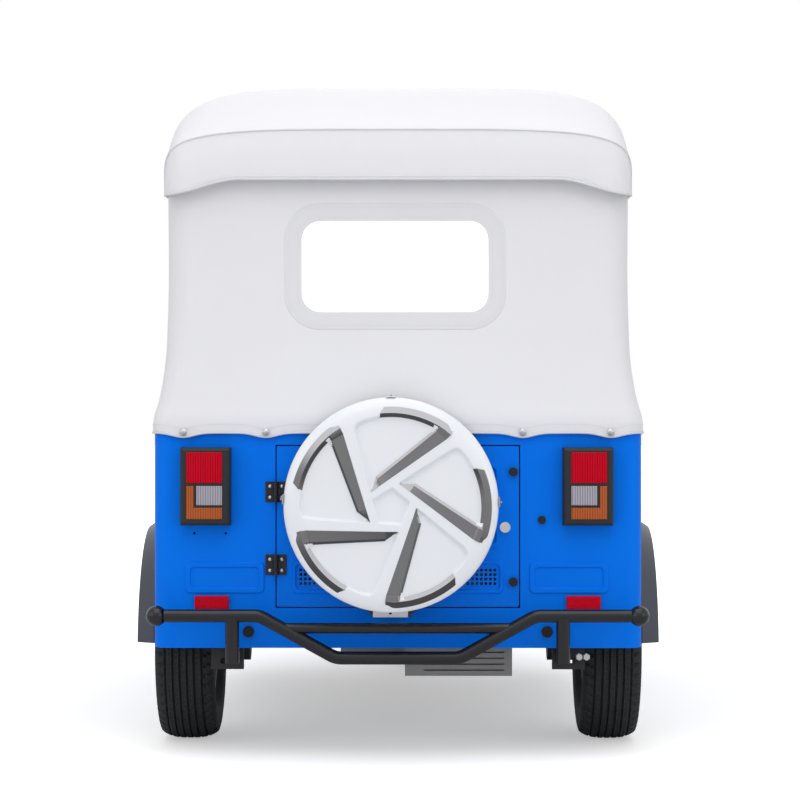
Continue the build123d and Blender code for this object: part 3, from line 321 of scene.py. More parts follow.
def curve(value: Array, stations: Array, heights: Array) -> Array:
    """A smooth curve through a few stations.

    Between two stations it is the cubic whose slopes are the mean slopes of the runs beside them.

    Args:
        value: Where the curve is read.
        stations: Rising station places.
        heights: The curve at each station.

    Returns:
        The curve at each value.
    """
    slopes = np.gradient(heights, stations)
    place = np.clip(np.searchsorted(stations, value, side="right") - 1, 0, len(stations) - 2)
    span = stations[place + 1] - stations[place]
    t = np.clip((value - stations[place]) / span, 0, 1)
    start = (2 * t**3 - 3 * t**2 + 1) * heights[place] + (t**3 - 2 * t**2 + t) * span * slopes[place]
    return start + (3 * t**2 - 2 * t**3) * heights[place + 1] + (t**3 - t**2) * span * slopes[place + 1]


# Shader sockets with Python arithmetic
class Signal:
    """A shader output that takes part in Python expressions.

    Args:
        graph: The graph that the output is in.
        socket: The output socket.
    """

    def __init__(self, graph: "Graph", socket: bpy.types.NodeSocket) -> None:
        """Keeps the graph and the socket."""
        self.graph = graph
        self.socket = socket

    def __add__(self, other: "Signal | float") -> "Signal":
        """The sum."""
        return self.graph.maths("ADD", self, other)

    def __radd__(self, other: float) -> "Signal":
        """The sum, number first."""
        return self.graph.maths("ADD", other, self)

    def __sub__(self, other: "Signal | float") -> "Signal":
        """The difference."""
        return self.graph.maths("SUBTRACT", self, other)

    def __rsub__(self, other: float) -> "Signal":
        """The difference, number first."""
        return self.graph.maths("SUBTRACT", other, self)

    def __mul__(self, other: "Signal | float") -> "Signal":
        """The product."""
        return self.graph.maths("MULTIPLY", self, other)

    def __rmul__(self, other: float) -> "Signal":
        """The product, number first."""
        return self.graph.maths("MULTIPLY", other, self)

    def __truediv__(self, other: "Signal | float") -> "Signal":
        """The quotient."""
        return self.graph.maths("DIVIDE", self, other)

    def __pow__(self, other: float) -> "Signal":
        """The power."""
        return self.graph.maths("POWER", self, other)

    def sine(self) -> "Signal":
        """The sine."""
        return self.graph.maths("SINE", self)

    def size(self) -> "Signal":
        """The value without its sign."""
        return self.graph.maths("ABSOLUTE", self)

    def between(self, start: float, end: float) -> "Signal":
        """Zero at start, one at end, held outside them and smooth between."""
        node = self.graph.node("ShaderNodeMapRange", {"interpolation_type": "SMOOTHSTEP"}, Value=self)
        node.inputs["From Min"].default_value = start
        node.inputs["From Max"].default_value = end
        return Signal(self.graph, node.outputs["Result"])


Value = Signal | float


class Graph:
    """The nodes of one material around its Principled shader.

    Args:
        name: The material's name.
    """

    def __init__(self, name: str) -> None:
        """Makes the material with its shader and output."""
        self.material = bpy.data.materials.new(name)
        self.material.use_nodes = True
        self.nodes = self.material.node_tree.nodes
        self.links = self.material.node_tree.links
        self.shader = self.nodes["Principled BSDF"]
        self.output = self.nodes["Material Output"]

    def node(self, kind: str, settings: dict[str, object] | None = None, **inputs: object) -> bpy.types.Node:
        """Adds any node.

        Args:
            kind: The node's type.
            settings: Its settings, set before its sockets.
            inputs: Values or signals of its sockets, where an underscore stands for a space.

        Returns:
            The new node.
        """
        made = self.nodes.new(kind)
        for key, value in (settings or {}).items():
            setattr(made, key, value)
        for key, value in inputs.items():
            self.feed(made.inputs[key.replace("_", " ")], value)
        return made

    def feed(self, socket: bpy.types.NodeSocket, value: object) -> None:
        """Links a signal to a socket, or sets the socket to a plain value."""
        if isinstance(value, Signal):
            self.links.new(value.socket, socket)
        else:
            socket.default_value = value

    def maths(self, operation: str, first: Value, second: Value = 0.0) -> Signal:
        """Adds a Math node and returns its output."""
        made = self.node("ShaderNodeMath", {"operation": operation})
        self.feed(made.inputs[0], first)
        self.feed(made.inputs[1], second)
        return Signal(self, made.outputs[0])

    def place(self) -> Signal:
        """The point's place in the object."""
        return Signal(self, self.node("ShaderNodeTexCoord").outputs["Object"])

    def facing(self) -> Signal:
        """The surface's outward direction."""
        return Signal(self, self.node("ShaderNodeNewGeometry").outputs["Normal"])

    def axes(self) -> tuple[Signal, Signal, Signal]:
        """The point's X, Y and Z in the object."""
        split = self.node("ShaderNodeSeparateXYZ", Vector=self.place())
        return tuple(Signal(self, out) for out in split.outputs)

    def noise(
        self, scale: float, detail: float = 3.0, stretch: tuple[float, float, float] = (1, 1, 1)
    ) -> Signal:
        """Soft noise from zero to one.

        Args:
            scale: Features in a metre.
            detail: Octaves.
            stretch: Scale along each axis.

        Returns:
            The noise.
        """
        mapping = self.node("ShaderNodeMapping", Vector=self.place(), Scale=stretch)
        vector = Signal(self, mapping.outputs["Vector"])
        made = self.node("ShaderNodeTexNoise", Vector=vector, Scale=scale, Detail=detail, Roughness=0.55)
        return Signal(self, made.outputs["Fac"])

    def mixed(self, share: Value, first: object, second: object) -> Signal:
        """A colour from first to second by share."""
        made = self.node("ShaderNodeMix", {"data_type": "RGBA"})
        self.feed(made.inputs[0], share)
        self.feed(made.inputs[6], first)
        self.feed(made.inputs[7], second)
        return Signal(self, made.outputs[2])

    def raised(self, height: Signal, distance: float, strength: float = 1.0) -> None:
        """Lets a height in metres of relief bend the shader's normal."""
        made = self.node("ShaderNodeBump", Height=height, Distance=distance, Strength=strength)
        self.links.new(made.outputs["Normal"], self.shader.inputs["Normal"])

    def set(self, **values: object) -> "Graph":
        """Sets or links the shader's own sockets by their names."""
        for key, value in values.items():
            self.feed(self.shader.inputs[key.replace("_", " ")], value)
        return self


Colour = tuple[float, float, float]


def shade(colour: Colour, factor: float) -> tuple[float, float, float, float]:
    """The colour made lighter or darker, with full opacity."""
    return tuple(min(c * factor, 1.0) for c in colour) + (1.0,)


@dataclass(frozen=True)
class Finish:
    """A surface finish with small changes of colour and gloss.

    Args:
        name: The material's name.
        colour: Linear red, green and blue.
        rough: Roughness.
        metal: Metallic share.
        coat: Clear coat weight.
        gloss: Specular level.
        spread: Relative change of colour over the surface.
        patch_scale: Colour patches in a metre.
        grain: Grains in a metre of the fine relief.
        relief: Height of the fine relief in metres.
        dust: Share of grey dust low on the vehicle.
    """

    name: str
    colour: Colour
    rough: float = 0.4
    metal: float = 0.0
    coat: float = 0.0
    gloss: float = 0.5
    spread: float = 0.06
    patch_scale: float = 6.0
    grain: float = 900.0
    relief: float = 0.0002
    dust: float = 0.0

    DUST_COLOUR = (0.30, 0.28, 0.25, 1.0)
    DUST_TOP = 0.45

    def graph(self) -> Graph:
        """The finish as a node graph, with colour, gloss and relief set."""
        graph = Graph(self.name)
        patches = graph.noise(self.patch_scale)
        colour = graph.mixed(
            patches, shade(self.colour, 1 - self.spread), shade(self.colour, 1 + self.spread)
        )
        rough = self.rough * (0.85 + 0.3 * graph.noise(self.patch_scale * 4))
        if self.dust:
            height = graph.axes()[2]
            share = self.dust * (1 - height.between(0.0, self.DUST_TOP)) * graph.noise(30.0)
            colour = graph.mixed(share, colour, self.DUST_COLOUR)
            rough = rough + share
        graph.set(Base_Color=colour, Roughness=rough, Metallic=self.metal, Coat_Weight=self.coat)
        graph.set(Specular_IOR_Level=self.gloss, Coat_Roughness=0.08)
        if self.relief:
            graph.raised(self.surface(graph), self.relief)
        return graph

    def surface(self, graph: Graph) -> Signal:
        """The fine relief's height."""
        return graph.noise(self.grain, 2.0)

    def material(self) -> bpy.types.Material:
        """The material, made once."""
        found = bpy.data.materials.get(self.name)
        return found or self.graph().material


@dataclass(frozen=True)
class Canvas(Finish):
    """Coated canvas with a fine weave.

    Args:
        pitch: Distance between threads in metres.
    """

    pitch: float = 0.0012

    def surface(self, graph: Graph) -> Signal:
        """Threads as crossed sines, over soft creases."""
        x, y, z = graph.axes()
        turn = CIRCLE / self.pitch
        weave = ((x + y) * turn).sine() * ((z + 0.5 * (x - y)) * turn).sine()
        return 0.25 * weave + graph.noise(7.0, 4.0) * 6.0


@dataclass(frozen=True)
class Ribbed(Finish):
    """A moulding with straight ribs, such as a lamp lens.

    Args:
        pitch: Distance between ribs in metres.
        across: Height of the ribs to the side, against upwards ones.
    """

    pitch: float = 0.004
    across: float = 0.0

    def surface(self, graph: Graph) -> Signal:
        """Round ribs side by side, crossed by others where asked."""
        x, _, z = graph.axes()
        ribs = (x * (math.pi / self.pitch)).sine().size()
        return ribs + self.across * (z * (math.pi / self.pitch)).sine().size()


@dataclass(frozen=True)
class Lens(Ribbed):
    """A coloured lamp lens over a pale reflector, with painted shade in the valleys between its ribs and
    painted light on their crests.
    """

    def graph(self) -> Graph:
        """The ribbed finish with painted shade in the ribs' valleys and a painted highlight on their crests.
        """
        graph = super().graph()
        # Painted shade and painted highlight: the colour runs from darker in the rib valleys to lighter on
        # the crests.
        depth = self.surface(graph).between(0.0, 0.9)
        graph.set(Base_Color=graph.mixed(depth, shade(self.colour, 0.55), shade(self.colour, 1.1)))
        return graph


@dataclass(frozen=True)
class Film(Finish):
    """A thin clear sheet: some light passes straight through it.

    Args:
        clear: Share that passes through.
        glow: Painted light: emission strength that makes a milky sheet glow as if lit from behind.
    """

    clear: float = 0.5
    glow: float = 0.0

    def graph(self) -> Graph:
        """The finish mixed with a transparent shader, with its painted glow."""
        graph = super().graph()
        graph.material.surface_render_method = "BLENDED"
        # Painted light: the sheet glows by emission, standing in for light let through from behind.
        graph.set(Emission_Color=shade(self.colour, 1.0), Emission_Strength=self.glow)
        waves = graph.noise(5.0, 2.0)
        through = graph.node("ShaderNodeBsdfTransparent", Color=(1, 1, 1, 1))
        mix = graph.node("ShaderNodeMixShader", Fac=self.clear * (0.85 + 0.3 * waves))
        graph.links.new(graph.shader.outputs[0], mix.inputs[1])
        graph.links.new(through.outputs[0], mix.inputs[2])
        graph.links.new(mix.outputs[0], graph.output.inputs["Surface"])
        return graph


@dataclass(frozen=True)
class Brushed(Finish):
    """Metal with fine drawn lines along X."""

    def surface(self, graph: Graph) -> Signal:
        """Noise stretched along X."""
        return graph.noise(self.grain, 2.0, (0.03, 1, 1))


@dataclass(frozen=True)
class PaintedLightInlay(Finish):
    """Metallic grey paint with painted light: its colour is painted lighter on faces turned up and darker on
    faces turned down.
    """

    def graph(self) -> Graph:
        """The finish with painted highlight and painted shade, its colour led by how far the surface is
        turned up.
        """
        graph = super().graph()
        turned_up = Signal(graph, graph.node("ShaderNodeSeparateXYZ", Vector=graph.facing()).outputs["Z"])
        # Painted shade: faces turned down are painted darker.
        painted_shade = graph.mixed(turned_up.between(-0.30, -0.06), shade(self.colour, 0.35), shade(self.colour, 1.0))
        # Painted highlight: faces turned up are painted up to three times lighter.
        graph.set(Base_Color=graph.mixed(turned_up.between(0.12, 0.26), painted_shade, shade(self.colour, 3.0)))
        return graph


BLUE = Finish("blue_paint", (0.0, 0.185, 0.90), rough=0.4, coat=0.02, gloss=0.06, spread=0.03, relief=0.00004)
WHITE_CANVAS = Canvas("white_canvas", (0.83, 0.83, 0.865), rough=0.6, gloss=0.2, spread=0.01, relief=0.00025)
PIPING = Finish("hood_piping", (0.70, 0.70, 0.73), rough=0.5, gloss=0.3, relief=0.0001)
WELD = Canvas("welded_strip", (0.78, 0.78, 0.81), rough=0.5, gloss=0.25, spread=0.01, relief=0.0002)
THREAD = Finish("white_thread", (0.70, 0.70, 0.73), rough=0.8, gloss=0.1)
# The milky film glows by emission: painted light.
CLEAR_FILM = Film(
    "milky_film", (0.97, 0.97, 0.98), rough=0.12, gloss=0.5, spread=0.0, clear=0.25, glow=0.75, relief=0.0
)
GLASS = Film("window_glass", (0.75, 0.82, 0.8), rough=0.05, gloss=0.5, spread=0.02, clear=0.86, relief=0.0)
GLOSS_BLACK = Finish("gloss_black", (0.008, 0.008, 0.012), rough=0.25, coat=0.12, gloss=0.35, relief=0.00005)
CHASSIS_BLACK = Finish("chassis_black", (0.012, 0.012, 0.014), rough=0.5, gloss=0.3, dust=0.2, relief=0.0002)
BLACK_PLASTIC = Finish(
    "grained_plastic", (0.018, 0.020, 0.024), rough=0.45, gloss=0.3, grain=1400, relief=0.0001
)
FLARE_PLASTIC = Finish(
    "flare_plastic", (0.030, 0.036, 0.056), rough=0.38, gloss=0.6, grain=1400, relief=0.0001
)
RUBBER = Finish("black_rubber", (0.012, 0.012, 0.014), rough=0.6, gloss=0.3)
TYRE_RUBBER = Finish("tyre_rubber", (0.009, 0.011, 0.014), rough=0.62, gloss=0.35, dust=0.06, grain=600)
RED_LENS = Lens(
    "lamp_red", (0.57, 0.0005, 0.015), rough=0.25, coat=0.06, gloss=0.05, pitch=0.006, relief=0.0008
)
AMBER_LENS = Lens(
    "lamp_amber", (0.45, 0.105, 0.028), rough=0.25, coat=0.06, gloss=0.1, pitch=0.006, relief=0.0008
)
CLEAR_LENS = Lens(
    "lamp_clear", (0.37, 0.36, 0.42), rough=0.25, coat=0.1, gloss=0.3, pitch=0.006, relief=0.0008
)
REFLEX = Lens(
    "red_reflex", (0.62, 0.001, 0.016), rough=0.25, coat=0.05, gloss=0.05, pitch=0.003, across=1.0,
    relief=0.0006
)
COVER_WHITE = Finish(
    "cover_gloss", (0.86, 0.88, 0.93), rough=0.22, coat=0.25, gloss=0.4, spread=0.005, relief=0.00002
)
# Grey inlay paint whose colour carries painted highlight and painted shade by facing.
INLAY_PAINTED_LIGHT = PaintedLightInlay("inlay_painted_light", (0.185, 0.182, 0.19), rough=0.35, gloss=0.2, relief=0.0)
VINYL = Finish("black_vinyl", (0.018, 0.018, 0.02), rough=0.42, gloss=0.5, grain=700, relief=0.0004)
GALVANISED = Brushed("plated_steel", (0.50, 0.50, 0.52), rough=0.32, metal=0.85, grain=500, relief=0.0001)
PLATE_GREY = Finish("plate_grey", (0.74, 0.74, 0.76), rough=0.4, metal=0.0)
WHEEL_SILVER = Finish("wheel_silver", (0.5, 0.51, 0.53), rough=0.35, metal=0.4, coat=0.2, dust=0.3)
CAST = Finish("cast_alloy", (0.25, 0.25, 0.26), rough=0.45, metal=0.5, grain=500, relief=0.0004, dust=0.3)
CHROME = Finish("bright_chrome", (0.8, 0.8, 0.82), rough=0.08, metal=1.0, spread=0.02, relief=0.0)
EXHAUST = Finish("heated_steel", (0.24, 0.21, 0.18), rough=0.5, metal=0.7, spread=0.3, grain=300, dust=0.3)
MIRROR = Finish("mirror_glass", (0.85, 0.87, 0.88), rough=0.03, metal=1.0, spread=0.0, relief=0.0)
DIAL = Finish("dial_face", (0.7, 0.7, 0.68), rough=0.3)

# Finishes of the solids that show as they are
NODE_FINISH: dict[Finish, tuple[str, ...]] = {
    BLUE: (
        "rear_tub", "bulkhead", "side_sills", "front_cowl", "partition", "driver_seat_box",
        "front_mudguard", "door_panel", "vent_mesh",
    ),
    CHASSIS_BLACK: (
        "chassis_rails", "cross_members", "steering_head", "floor_pan", "wheel_houses",
        "trailing_arms", "dampers", "front_fork",
    ),
    GLOSS_BLACK: (
        "rear_bumper", "windscreen_frame", "canopy_frame", "handlebar", "body_hinges",
        "door_hinges", "spare_carrier",
    ),
    BLACK_PLASTIC: ("dashboard", "tail_lamp_housings", "mirrors"),
    FLARE_PLASTIC: ("arch_flares",),
    RUBBER: ("body_plugs", "door_buffers", "grips"),
    TYRE_RUBBER: ("spare_tyre", "front_tyre", "rear_left_tyre", "rear_right_tyre"),
    WHEEL_SILVER: ("spare_rim", "front_rim", "rear_left_rim", "rear_right_rim"),
    RED_LENS: ("tail_lamp_red",),
    AMBER_LENS: ("tail_lamp_amber", "front_indicators"),
    CLEAR_LENS: ("tail_lamp_clear",),
    REFLEX: ("reflectors",),
    GLASS: ("windscreen_glass", "headlamp_lenses"),
    CAST: ("engine_block",),
    EXHAUST: ("muffler",),
    GALVANISED: ("drive_shafts",),
    PLATE_GREY: ("carrier_plate",),
    CHROME: ("headlamps", "door_lock"),
}


def dress_nodes() -> None:
    """Gives every solid that shows its finish."""
    for finish, names in NODE_FINISH.items():
        for name in names:
            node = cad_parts[name]
            node.data.materials.clear()
            node.data.materials.append(finish.material())


# Pieces made from surfaces
@dataclass(frozen=True)
class Place:
    """Where a piece belongs.

    Args:
        body: The body that it moves with.
        slot: The record's material slot; not used.
        stands_for: The solids that it replaces.
    """

    body: str
    slot: str
    stands_for: tuple[str, ...] = ()


def add_object(name: str, data: bpy.types.ID) -> bpy.types.Object:
    """A new object in the scene."""
    made = bpy.data.objects.new(name, data)
    bpy.context.scene.collection.objects.link(made)
    return made


def make_piece(name: str, shell: Shell, finish: Finish, place: Place, sharp: float = 35.0, wall: float = 0.0,
               bevel: float = 0.0, outward: bool = True) -> bpy.types.Object:
    """Makes a mesh piece and sets it on its body.

    Args:
        name: The piece's name.
        shell: Its surface.
        finish: Its finish.
        place: Its body and the solids it replaces.
        sharp: Angle in degrees past which an edge shades sharp.
        wall: Thickness that is added inwards.
        bevel: Width of a bevel on the sharp edges.
        outward: Whether the faces are turned outwards, for closed surfaces.

    Returns:
        The object.
    """
    mesh = bpy.data.meshes.new(name)
    mesh.from_pydata(shell.points.tolist(), [], shell.quads.tolist())
    work = bmesh.new()
    work.from_mesh(mesh)
    bmesh.ops.remove_doubles(work, verts=work.verts, dist=1e-6)
    bmesh.ops.dissolve_degenerate(work, edges=work.edges, dist=1e-7)
    if outward:
        bmesh.ops.recalc_face_normals(work, faces=work.faces)
    work.to_mesh(mesh)
    work.free()
    mesh.polygons.foreach_set("use_smooth", np.ones(len(mesh.polygons), bool))
    mesh.set_sharp_from_angle(angle=math.radians(sharp))
    piece = add_object(name, mesh)
    mesh.materials.append(finish.material())
    if wall:
        solid = piece.modifiers.new("wall", "SOLIDIFY")
        solid.thickness = wall
        solid.offset = -1.0
    if bevel:
        edge = piece.modifiers.new("edge", "BEVEL")
        edge.width = bevel
        edge.segments = 2
        edge.limit_method = "ANGLE"
        edge.angle_limit = math.radians(sharp)
    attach(piece, place.body)
    if place.stands_for:
        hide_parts(*place.stands_for)
    LOG.info("%s: %d faces on %s", name, len(mesh.polygons), place.body)
    return piece


def stitched(
    path: Array, pitch: float, length: float, radius: float, side: tuple[float, float, float]
) -> Shell:
    """A row of thread stitches along a path.

    Each stitch is a short six-sided rod, thinner at its ends, turned along the path.

    Args:
        path: The seam's points.
        pitch: Distance from stitch to stitch.
        length: Length of a stitch.
        radius: Radius of the thread.
        side: A direction that the seam never runs along.

    Returns:
        All the stitches as one surface.
    """
    span = np.linalg.norm(np.diff(path, axis=0), axis=1).sum()
    places = even(path, max(int(span / pitch), 2))
    profile = np.array(
        [(-length / 2, 0.0), (-length / 2.6, radius), (length / 2.6, radius), (length / 2, 0.0)]
    )
    stitch = turned(profile, np.zeros(3), Axis.X, 6)
    return copies(stitch, places, path_frames(places, side))


@dataclass
class Hood:
    """The canvas hood: a crowned roof with a rear band, and walls that flare to the tub.

    Args:
        half: Half width of the roof.
        wall_half: Half width of the walls above the flare.
        canvas: Thickness of the cloth.
        bulge: Power of the roof's squared-off section.
        lip_out: How far the band stands behind the tub.
        plan_round: Radius of the band's corners in plan.
        lip_side: Height of the roof's lower edge at the sides and corners.
        lip_middle: Height of the band's lower edge in the middle.
        sag: Drop of the cloth between two hoops.
    """

    half: float = 0.5757
    wall_half: float = 0.572
    canvas: float = 0.004
    bulge: float = 4.4
    lip_out: float = 0.005
    plan_round: float = 0.055
    lip_side: float = 1.383
    lip_middle: float = 1.4195
    sag: float = 0.007
    lip_bend: tuple[float, float] = (0.39, 0.57)
    window: tuple[float, float, float, float] = (0.468, 0.232, 0.050, 1.207)
    window_x: float = -0.007
    surround: float = 0.040
    stud_x: tuple[float, ...] = (-0.525, -0.323, -0.121, 0.095, 0.306, 0.521)
    stud_z: float = 0.7996
    scallop: float = 0.0105
    hem_z: float = 0.7975

    # Roof stations: metres forward of the rear face, where the sides start to curve, crown height
    ROOF = np.array([
        (-0.005, 1.402, 1.541),
        (0.060, 1.412, 1.590),
        (0.140, 1.424, 1.634),
        (0.320, 1.442, 1.686),
        (0.600, 1.450, 1.709),
        (1.450, 1.450, 1.708),
        (2.022, 1.440, 1.686),
    ])
    # Wall stations: height, half width, metres of the back forward of the rear face, corner radius
    WALL = np.array([
        (0.786, 0.6045, -0.0045, 0.044),
        (0.829, 0.6030, -0.0045, 0.045),
        (0.878, 0.5905, 0.0050, 0.049),
        (0.927, 0.5820, 0.0130, 0.053),
        (0.976, 0.5765, 0.0200, 0.057),
        (1.074, 0.5725, 0.0280, 0.062),
        (1.441, 0.5720, 0.0300, 0.066),
    ])

    def plan_bend(self, x: Array) -> Array:
        """How far the band's corner runs forward at some X: a quarter circle in plan."""
        inside = np.clip(np.abs(x) - (self.half - self.plan_round), 0, self.plan_round)
        return self.plan_round - np.sqrt(np.maximum(self.plan_round**2 - inside**2, 0))

    def lip_height(self, x: Array) -> Array:
        """Height of the band's lower edge: level in the middle and bent down at both ends."""
        return self.lip_middle - (self.lip_middle - self.lip_side) * smoothstep(np.abs(x), *self.lip_bend)

    def roof_section(self, base: float, crown: float, count: int) -> Array:
        """One arch of the roof as pairs of X and Z.

        Straight sides rise from the lower edge to the base. Above it the sum of the powers of the
        shares of half width and height is one.

        Args:
            base: Height where the sides start to curve.
            crown: Height of the middle.
            count: Number of even points.

        Returns:
            The arch from the left edge over the crown to the right one.
        """
        angle = np.linspace(math.pi, 0, 400)
        power = 2 / self.bulge
        x = self.half * np.sign(np.cos(angle)) * np.abs(np.cos(angle)) ** power
        z = base + (crown - base) * np.abs(np.sin(angle)) ** power
        ends = np.array([(-self.half, self.lip_side + 0.002), (self.half, self.lip_side + 0.002)])
        return even(np.concatenate([ends[:1], np.stack([x, z], -1), ends[1:]]), count)

    def hoop_sag(self, y: Array) -> Array:
        """Drop of the cloth at some Y: none over a hoop and a squared sine between two."""
        hoops = np.array([REAR + 0.08, WALL_FRONT - 0.05, 0.06, ROOF_FRONT])
        place = np.clip(np.searchsorted(hoops, y) - 1, 0, len(hoops) - 2)
        share = np.clip((y - hoops[place]) / (hoops[place + 1] - hoops[place]), 0, 1)
        return self.sag * np.sin(math.pi * share) ** 2

    def roof_grid(self) -> Array:
        """The roof from its front edge back to the seam, and the band down to the lip.

        Rows run along the vehicle and columns across it. The last rows are the band, straight
        from the seam to the lip, with every point's Y taken from the corner's round.

        Returns:
            The grid of points.
        """
        across = 181
        forward = np.concatenate([np.linspace(ROOF_FRONT - REAR, 0.36, 56), np.linspace(0.34, -0.005, 30)])
        base = curve(forward, self.ROOF[:, 0], self.ROOF[:, 1])
        crown = curve(forward, self.ROOF[:, 0], self.ROOF[:, 2])
        rows = np.stack([self.roof_section(b, c, across) for b, c in zip(base, crown)])
        fade = 1 - smoothstep(forward, 0.0, 0.32)
        x = rows[:, :, 0]
        y = REAR + forward[:, None] + self.plan_bend(x) * fade[:, None]
        middle = 1 - (np.abs(x) / self.half) ** 2
        lift = smoothstep(rows[:, :, 1], 1.45, 1.60)
        z = rows[:, :, 1] - self.hoop_sag(y) * middle * lift
        top = np.stack([x, y, z], -1)
        seam = top[-1]
        drop = np.linspace(0, 1, 14)[1:, None]
        lip_x = self.half * np.linspace(-1, 1, across)
        band_x = seam[:, 0] * (1 - drop) + lip_x * drop
        band_z = seam[:, 2] * (1 - drop) + self.lip_height(lip_x) * drop
        swell = 0.003 * np.sin(math.pi * drop)
        band_y = REAR - self.lip_out + self.plan_bend(band_x) - swell
        return np.concatenate([top, np.stack([band_x, band_y, band_z], -1)])

    def wall_y(self, x: Array, z: Array) -> Array:
        """Y of the back wall: its station at that height, drawn in a little at mid-span.

        Args:
            x: X of the points.
            z: Height of the points.

        Returns:
            Y of the outer face.
        """
        back = REAR + curve(z, self.WALL[:, 0], self.WALL[:, 2])
        rise = np.clip((z - 0.83) / (1.42 - 0.83), 0, 1)
        inward = 0.006 * np.sin(math.pi * rise) * np.cos(np.clip(x / self.wall_half, -1, 1) * math.pi / 2)
        return back + inward

    def hem_height(self, along: Array, studs: Array) -> Array:
        """Height of the hem: lower about each stud, as a bell of the distance to it."""
        near = np.exp(-(((along[:, None] - studs[None]) / 0.035) ** 2)).sum(1)
        return self.hem_z - self.scallop * np.clip(near, 0, 1)

    def plan(self, z: float, count: int) -> Array:
        """The walls' outline in plan at one height.

        Straight sides run back to a quarter circle at each rear corner and a straight back.

        Args:
            z: The height.
            count: Number of points.

        Returns:
            Pairs of X and Y from the left front edge round the back to the right one.
        """
        half, back, radius = (curve(np.array([z]), self.WALL[:, 0], self.WALL[:, i])[0] for i in (1, 2, 3))
        angle = np.linspace(math.pi, 1.5 * math.pi, 24)
        corner = np.stack(
            [radius * np.cos(angle) - half + radius, radius * np.sin(angle) + REAR + back + radius], -1
        )
        left = np.concatenate([[(-half, WALL_FRONT)], corner])
        right = left[::-1] * np.array([-1.0, 1.0])
        return even(np.concatenate([left, right]), count)

    def stud_lengths(self) -> Array:
        """Places of the studs as lengths along the hem, from the back's middle."""
        turn = math.pi / 2 * self.WALL[0, 3]
        start = self.WALL[0, 1] - self.WALL[0, 3] + turn
        sides = start + np.array([0.10, 0.30, 0.50])
        return np.concatenate([-sides[::-1], self.stud_x, sides])

    def wall_grid(self) -> Array:
        """The walls as a grid of rows from the hem up and columns round the back.

        Returns:
            The grid of points.
        """
        around = 241
        rise = np.concatenate([np.linspace(0, 0.12, 12)[:-1], np.linspace(0.12, 1, 60)])
        hem_line = self.plan(self.hem_z, around)
        along = np.linspace(-0.5, 0.5, around) * np.linalg.norm(np.diff(hem_line, axis=0), axis=1).sum()
        hem = self.hem_height(along, self.stud_lengths())
        z = hem[None] * (1 - rise[:, None]) + 1.441 * rise[:, None]
        level = np.linspace(hem.min(), 1.441, 80)
        plans = np.stack([self.plan(value, around) for value in level])
        share = (z - level[0]) / (level[-1] - level[0]) * (len(level) - 1)
        step = np.clip(share.astype(int), 0, len(level) - 2)
        column = np.arange(around)[None]
        blend = (share - step)[..., None]
        xy = plans[step, column] * (1 - blend) + plans[step + 1, column] * blend
        flat = np.clip((self.wall_half - 0.05 - np.abs(xy[..., 0])) / 0.05, 0, 1)
        back = self.wall_y(xy[..., 0], z) - (REAR + curve(z, self.WALL[:, 0], self.WALL[:, 2]))
        y = xy[..., 1] + back * flat * (xy[..., 1] < REAR + 0.04)
        return np.stack([xy[..., 0], y, z], -1)

    def window_ring(self, grow: float, count: int = 160) -> Array:
        """The window's outline grown by a margin, as pairs of X and Z."""
        width, height, radius, middle = self.window
        ring = rounded_outline(width + 2 * grow, height + 2 * grow, radius + grow, count)
        return ring + np.array([self.window_x, middle])

    def on_wall(self, ring: Array, out: float) -> Array:
        """Pairs of X and Z laid on the back wall and set out from it."""
        return np.stack([ring[:, 0], self.wall_y(ring[:, 0], ring[:, 1]) - out, ring[:, 1]], -1)

    def build(self) -> None:
        """Makes the roof, walls, window, studs, piping and stitches."""
        roof = self.roof_grid()
        grid = patch(roof[:, ::-1])
        place = Place("root", "canvas_white", ("canopy_roof",))
        hood = make_piece("hood_roof", grid, WHITE_CANVAS, place, sharp=28, wall=self.canvas)
        edge = even(roof[-1], 200)
        side_edge = np.concatenate([roof[:86, 0], roof[85:, 0]])
        trims = [
            tube(even(roof[85], 200) - np.array([0, 0.0008, 0]), 0.0022, (0, 1, 0), 8),
            tube(edge, 0.0032, (0, 1, 0), 8),
            both_sides(tube(even(side_edge, 120), 0.0032, (1, 0, 0), 8)),
            tube(even(roof[0], 200), 0.0045, (0, 1, 0), 8),
        ]
        piping = make_piece("hood_piping", joined(*trims), PIPING, Place("root", "canvas_white"))
        hem_row = roof[-1] * np.array([0.985, 1, 1]) + np.array([0, -0.0008, 0.013])
        rows = [stitched(even(hem_row, 400), 0.006, 0.004, 0.0005, (0, 1, 0))]
        for inset in (0.006, 0.030):
            ring = self.on_wall(self.window_ring(inset, 400), 0.0018)
            rows.append(stitched(np.concatenate([ring, ring[:1]]), 0.006, 0.004, 0.0005, (0, 1, 0)))
        stitches = make_piece("hood_stitches", joined(*rows), THREAD, Place("root", "canvas_white"))
        self.build_walls()
        self.build_window()
        self.build_studs()

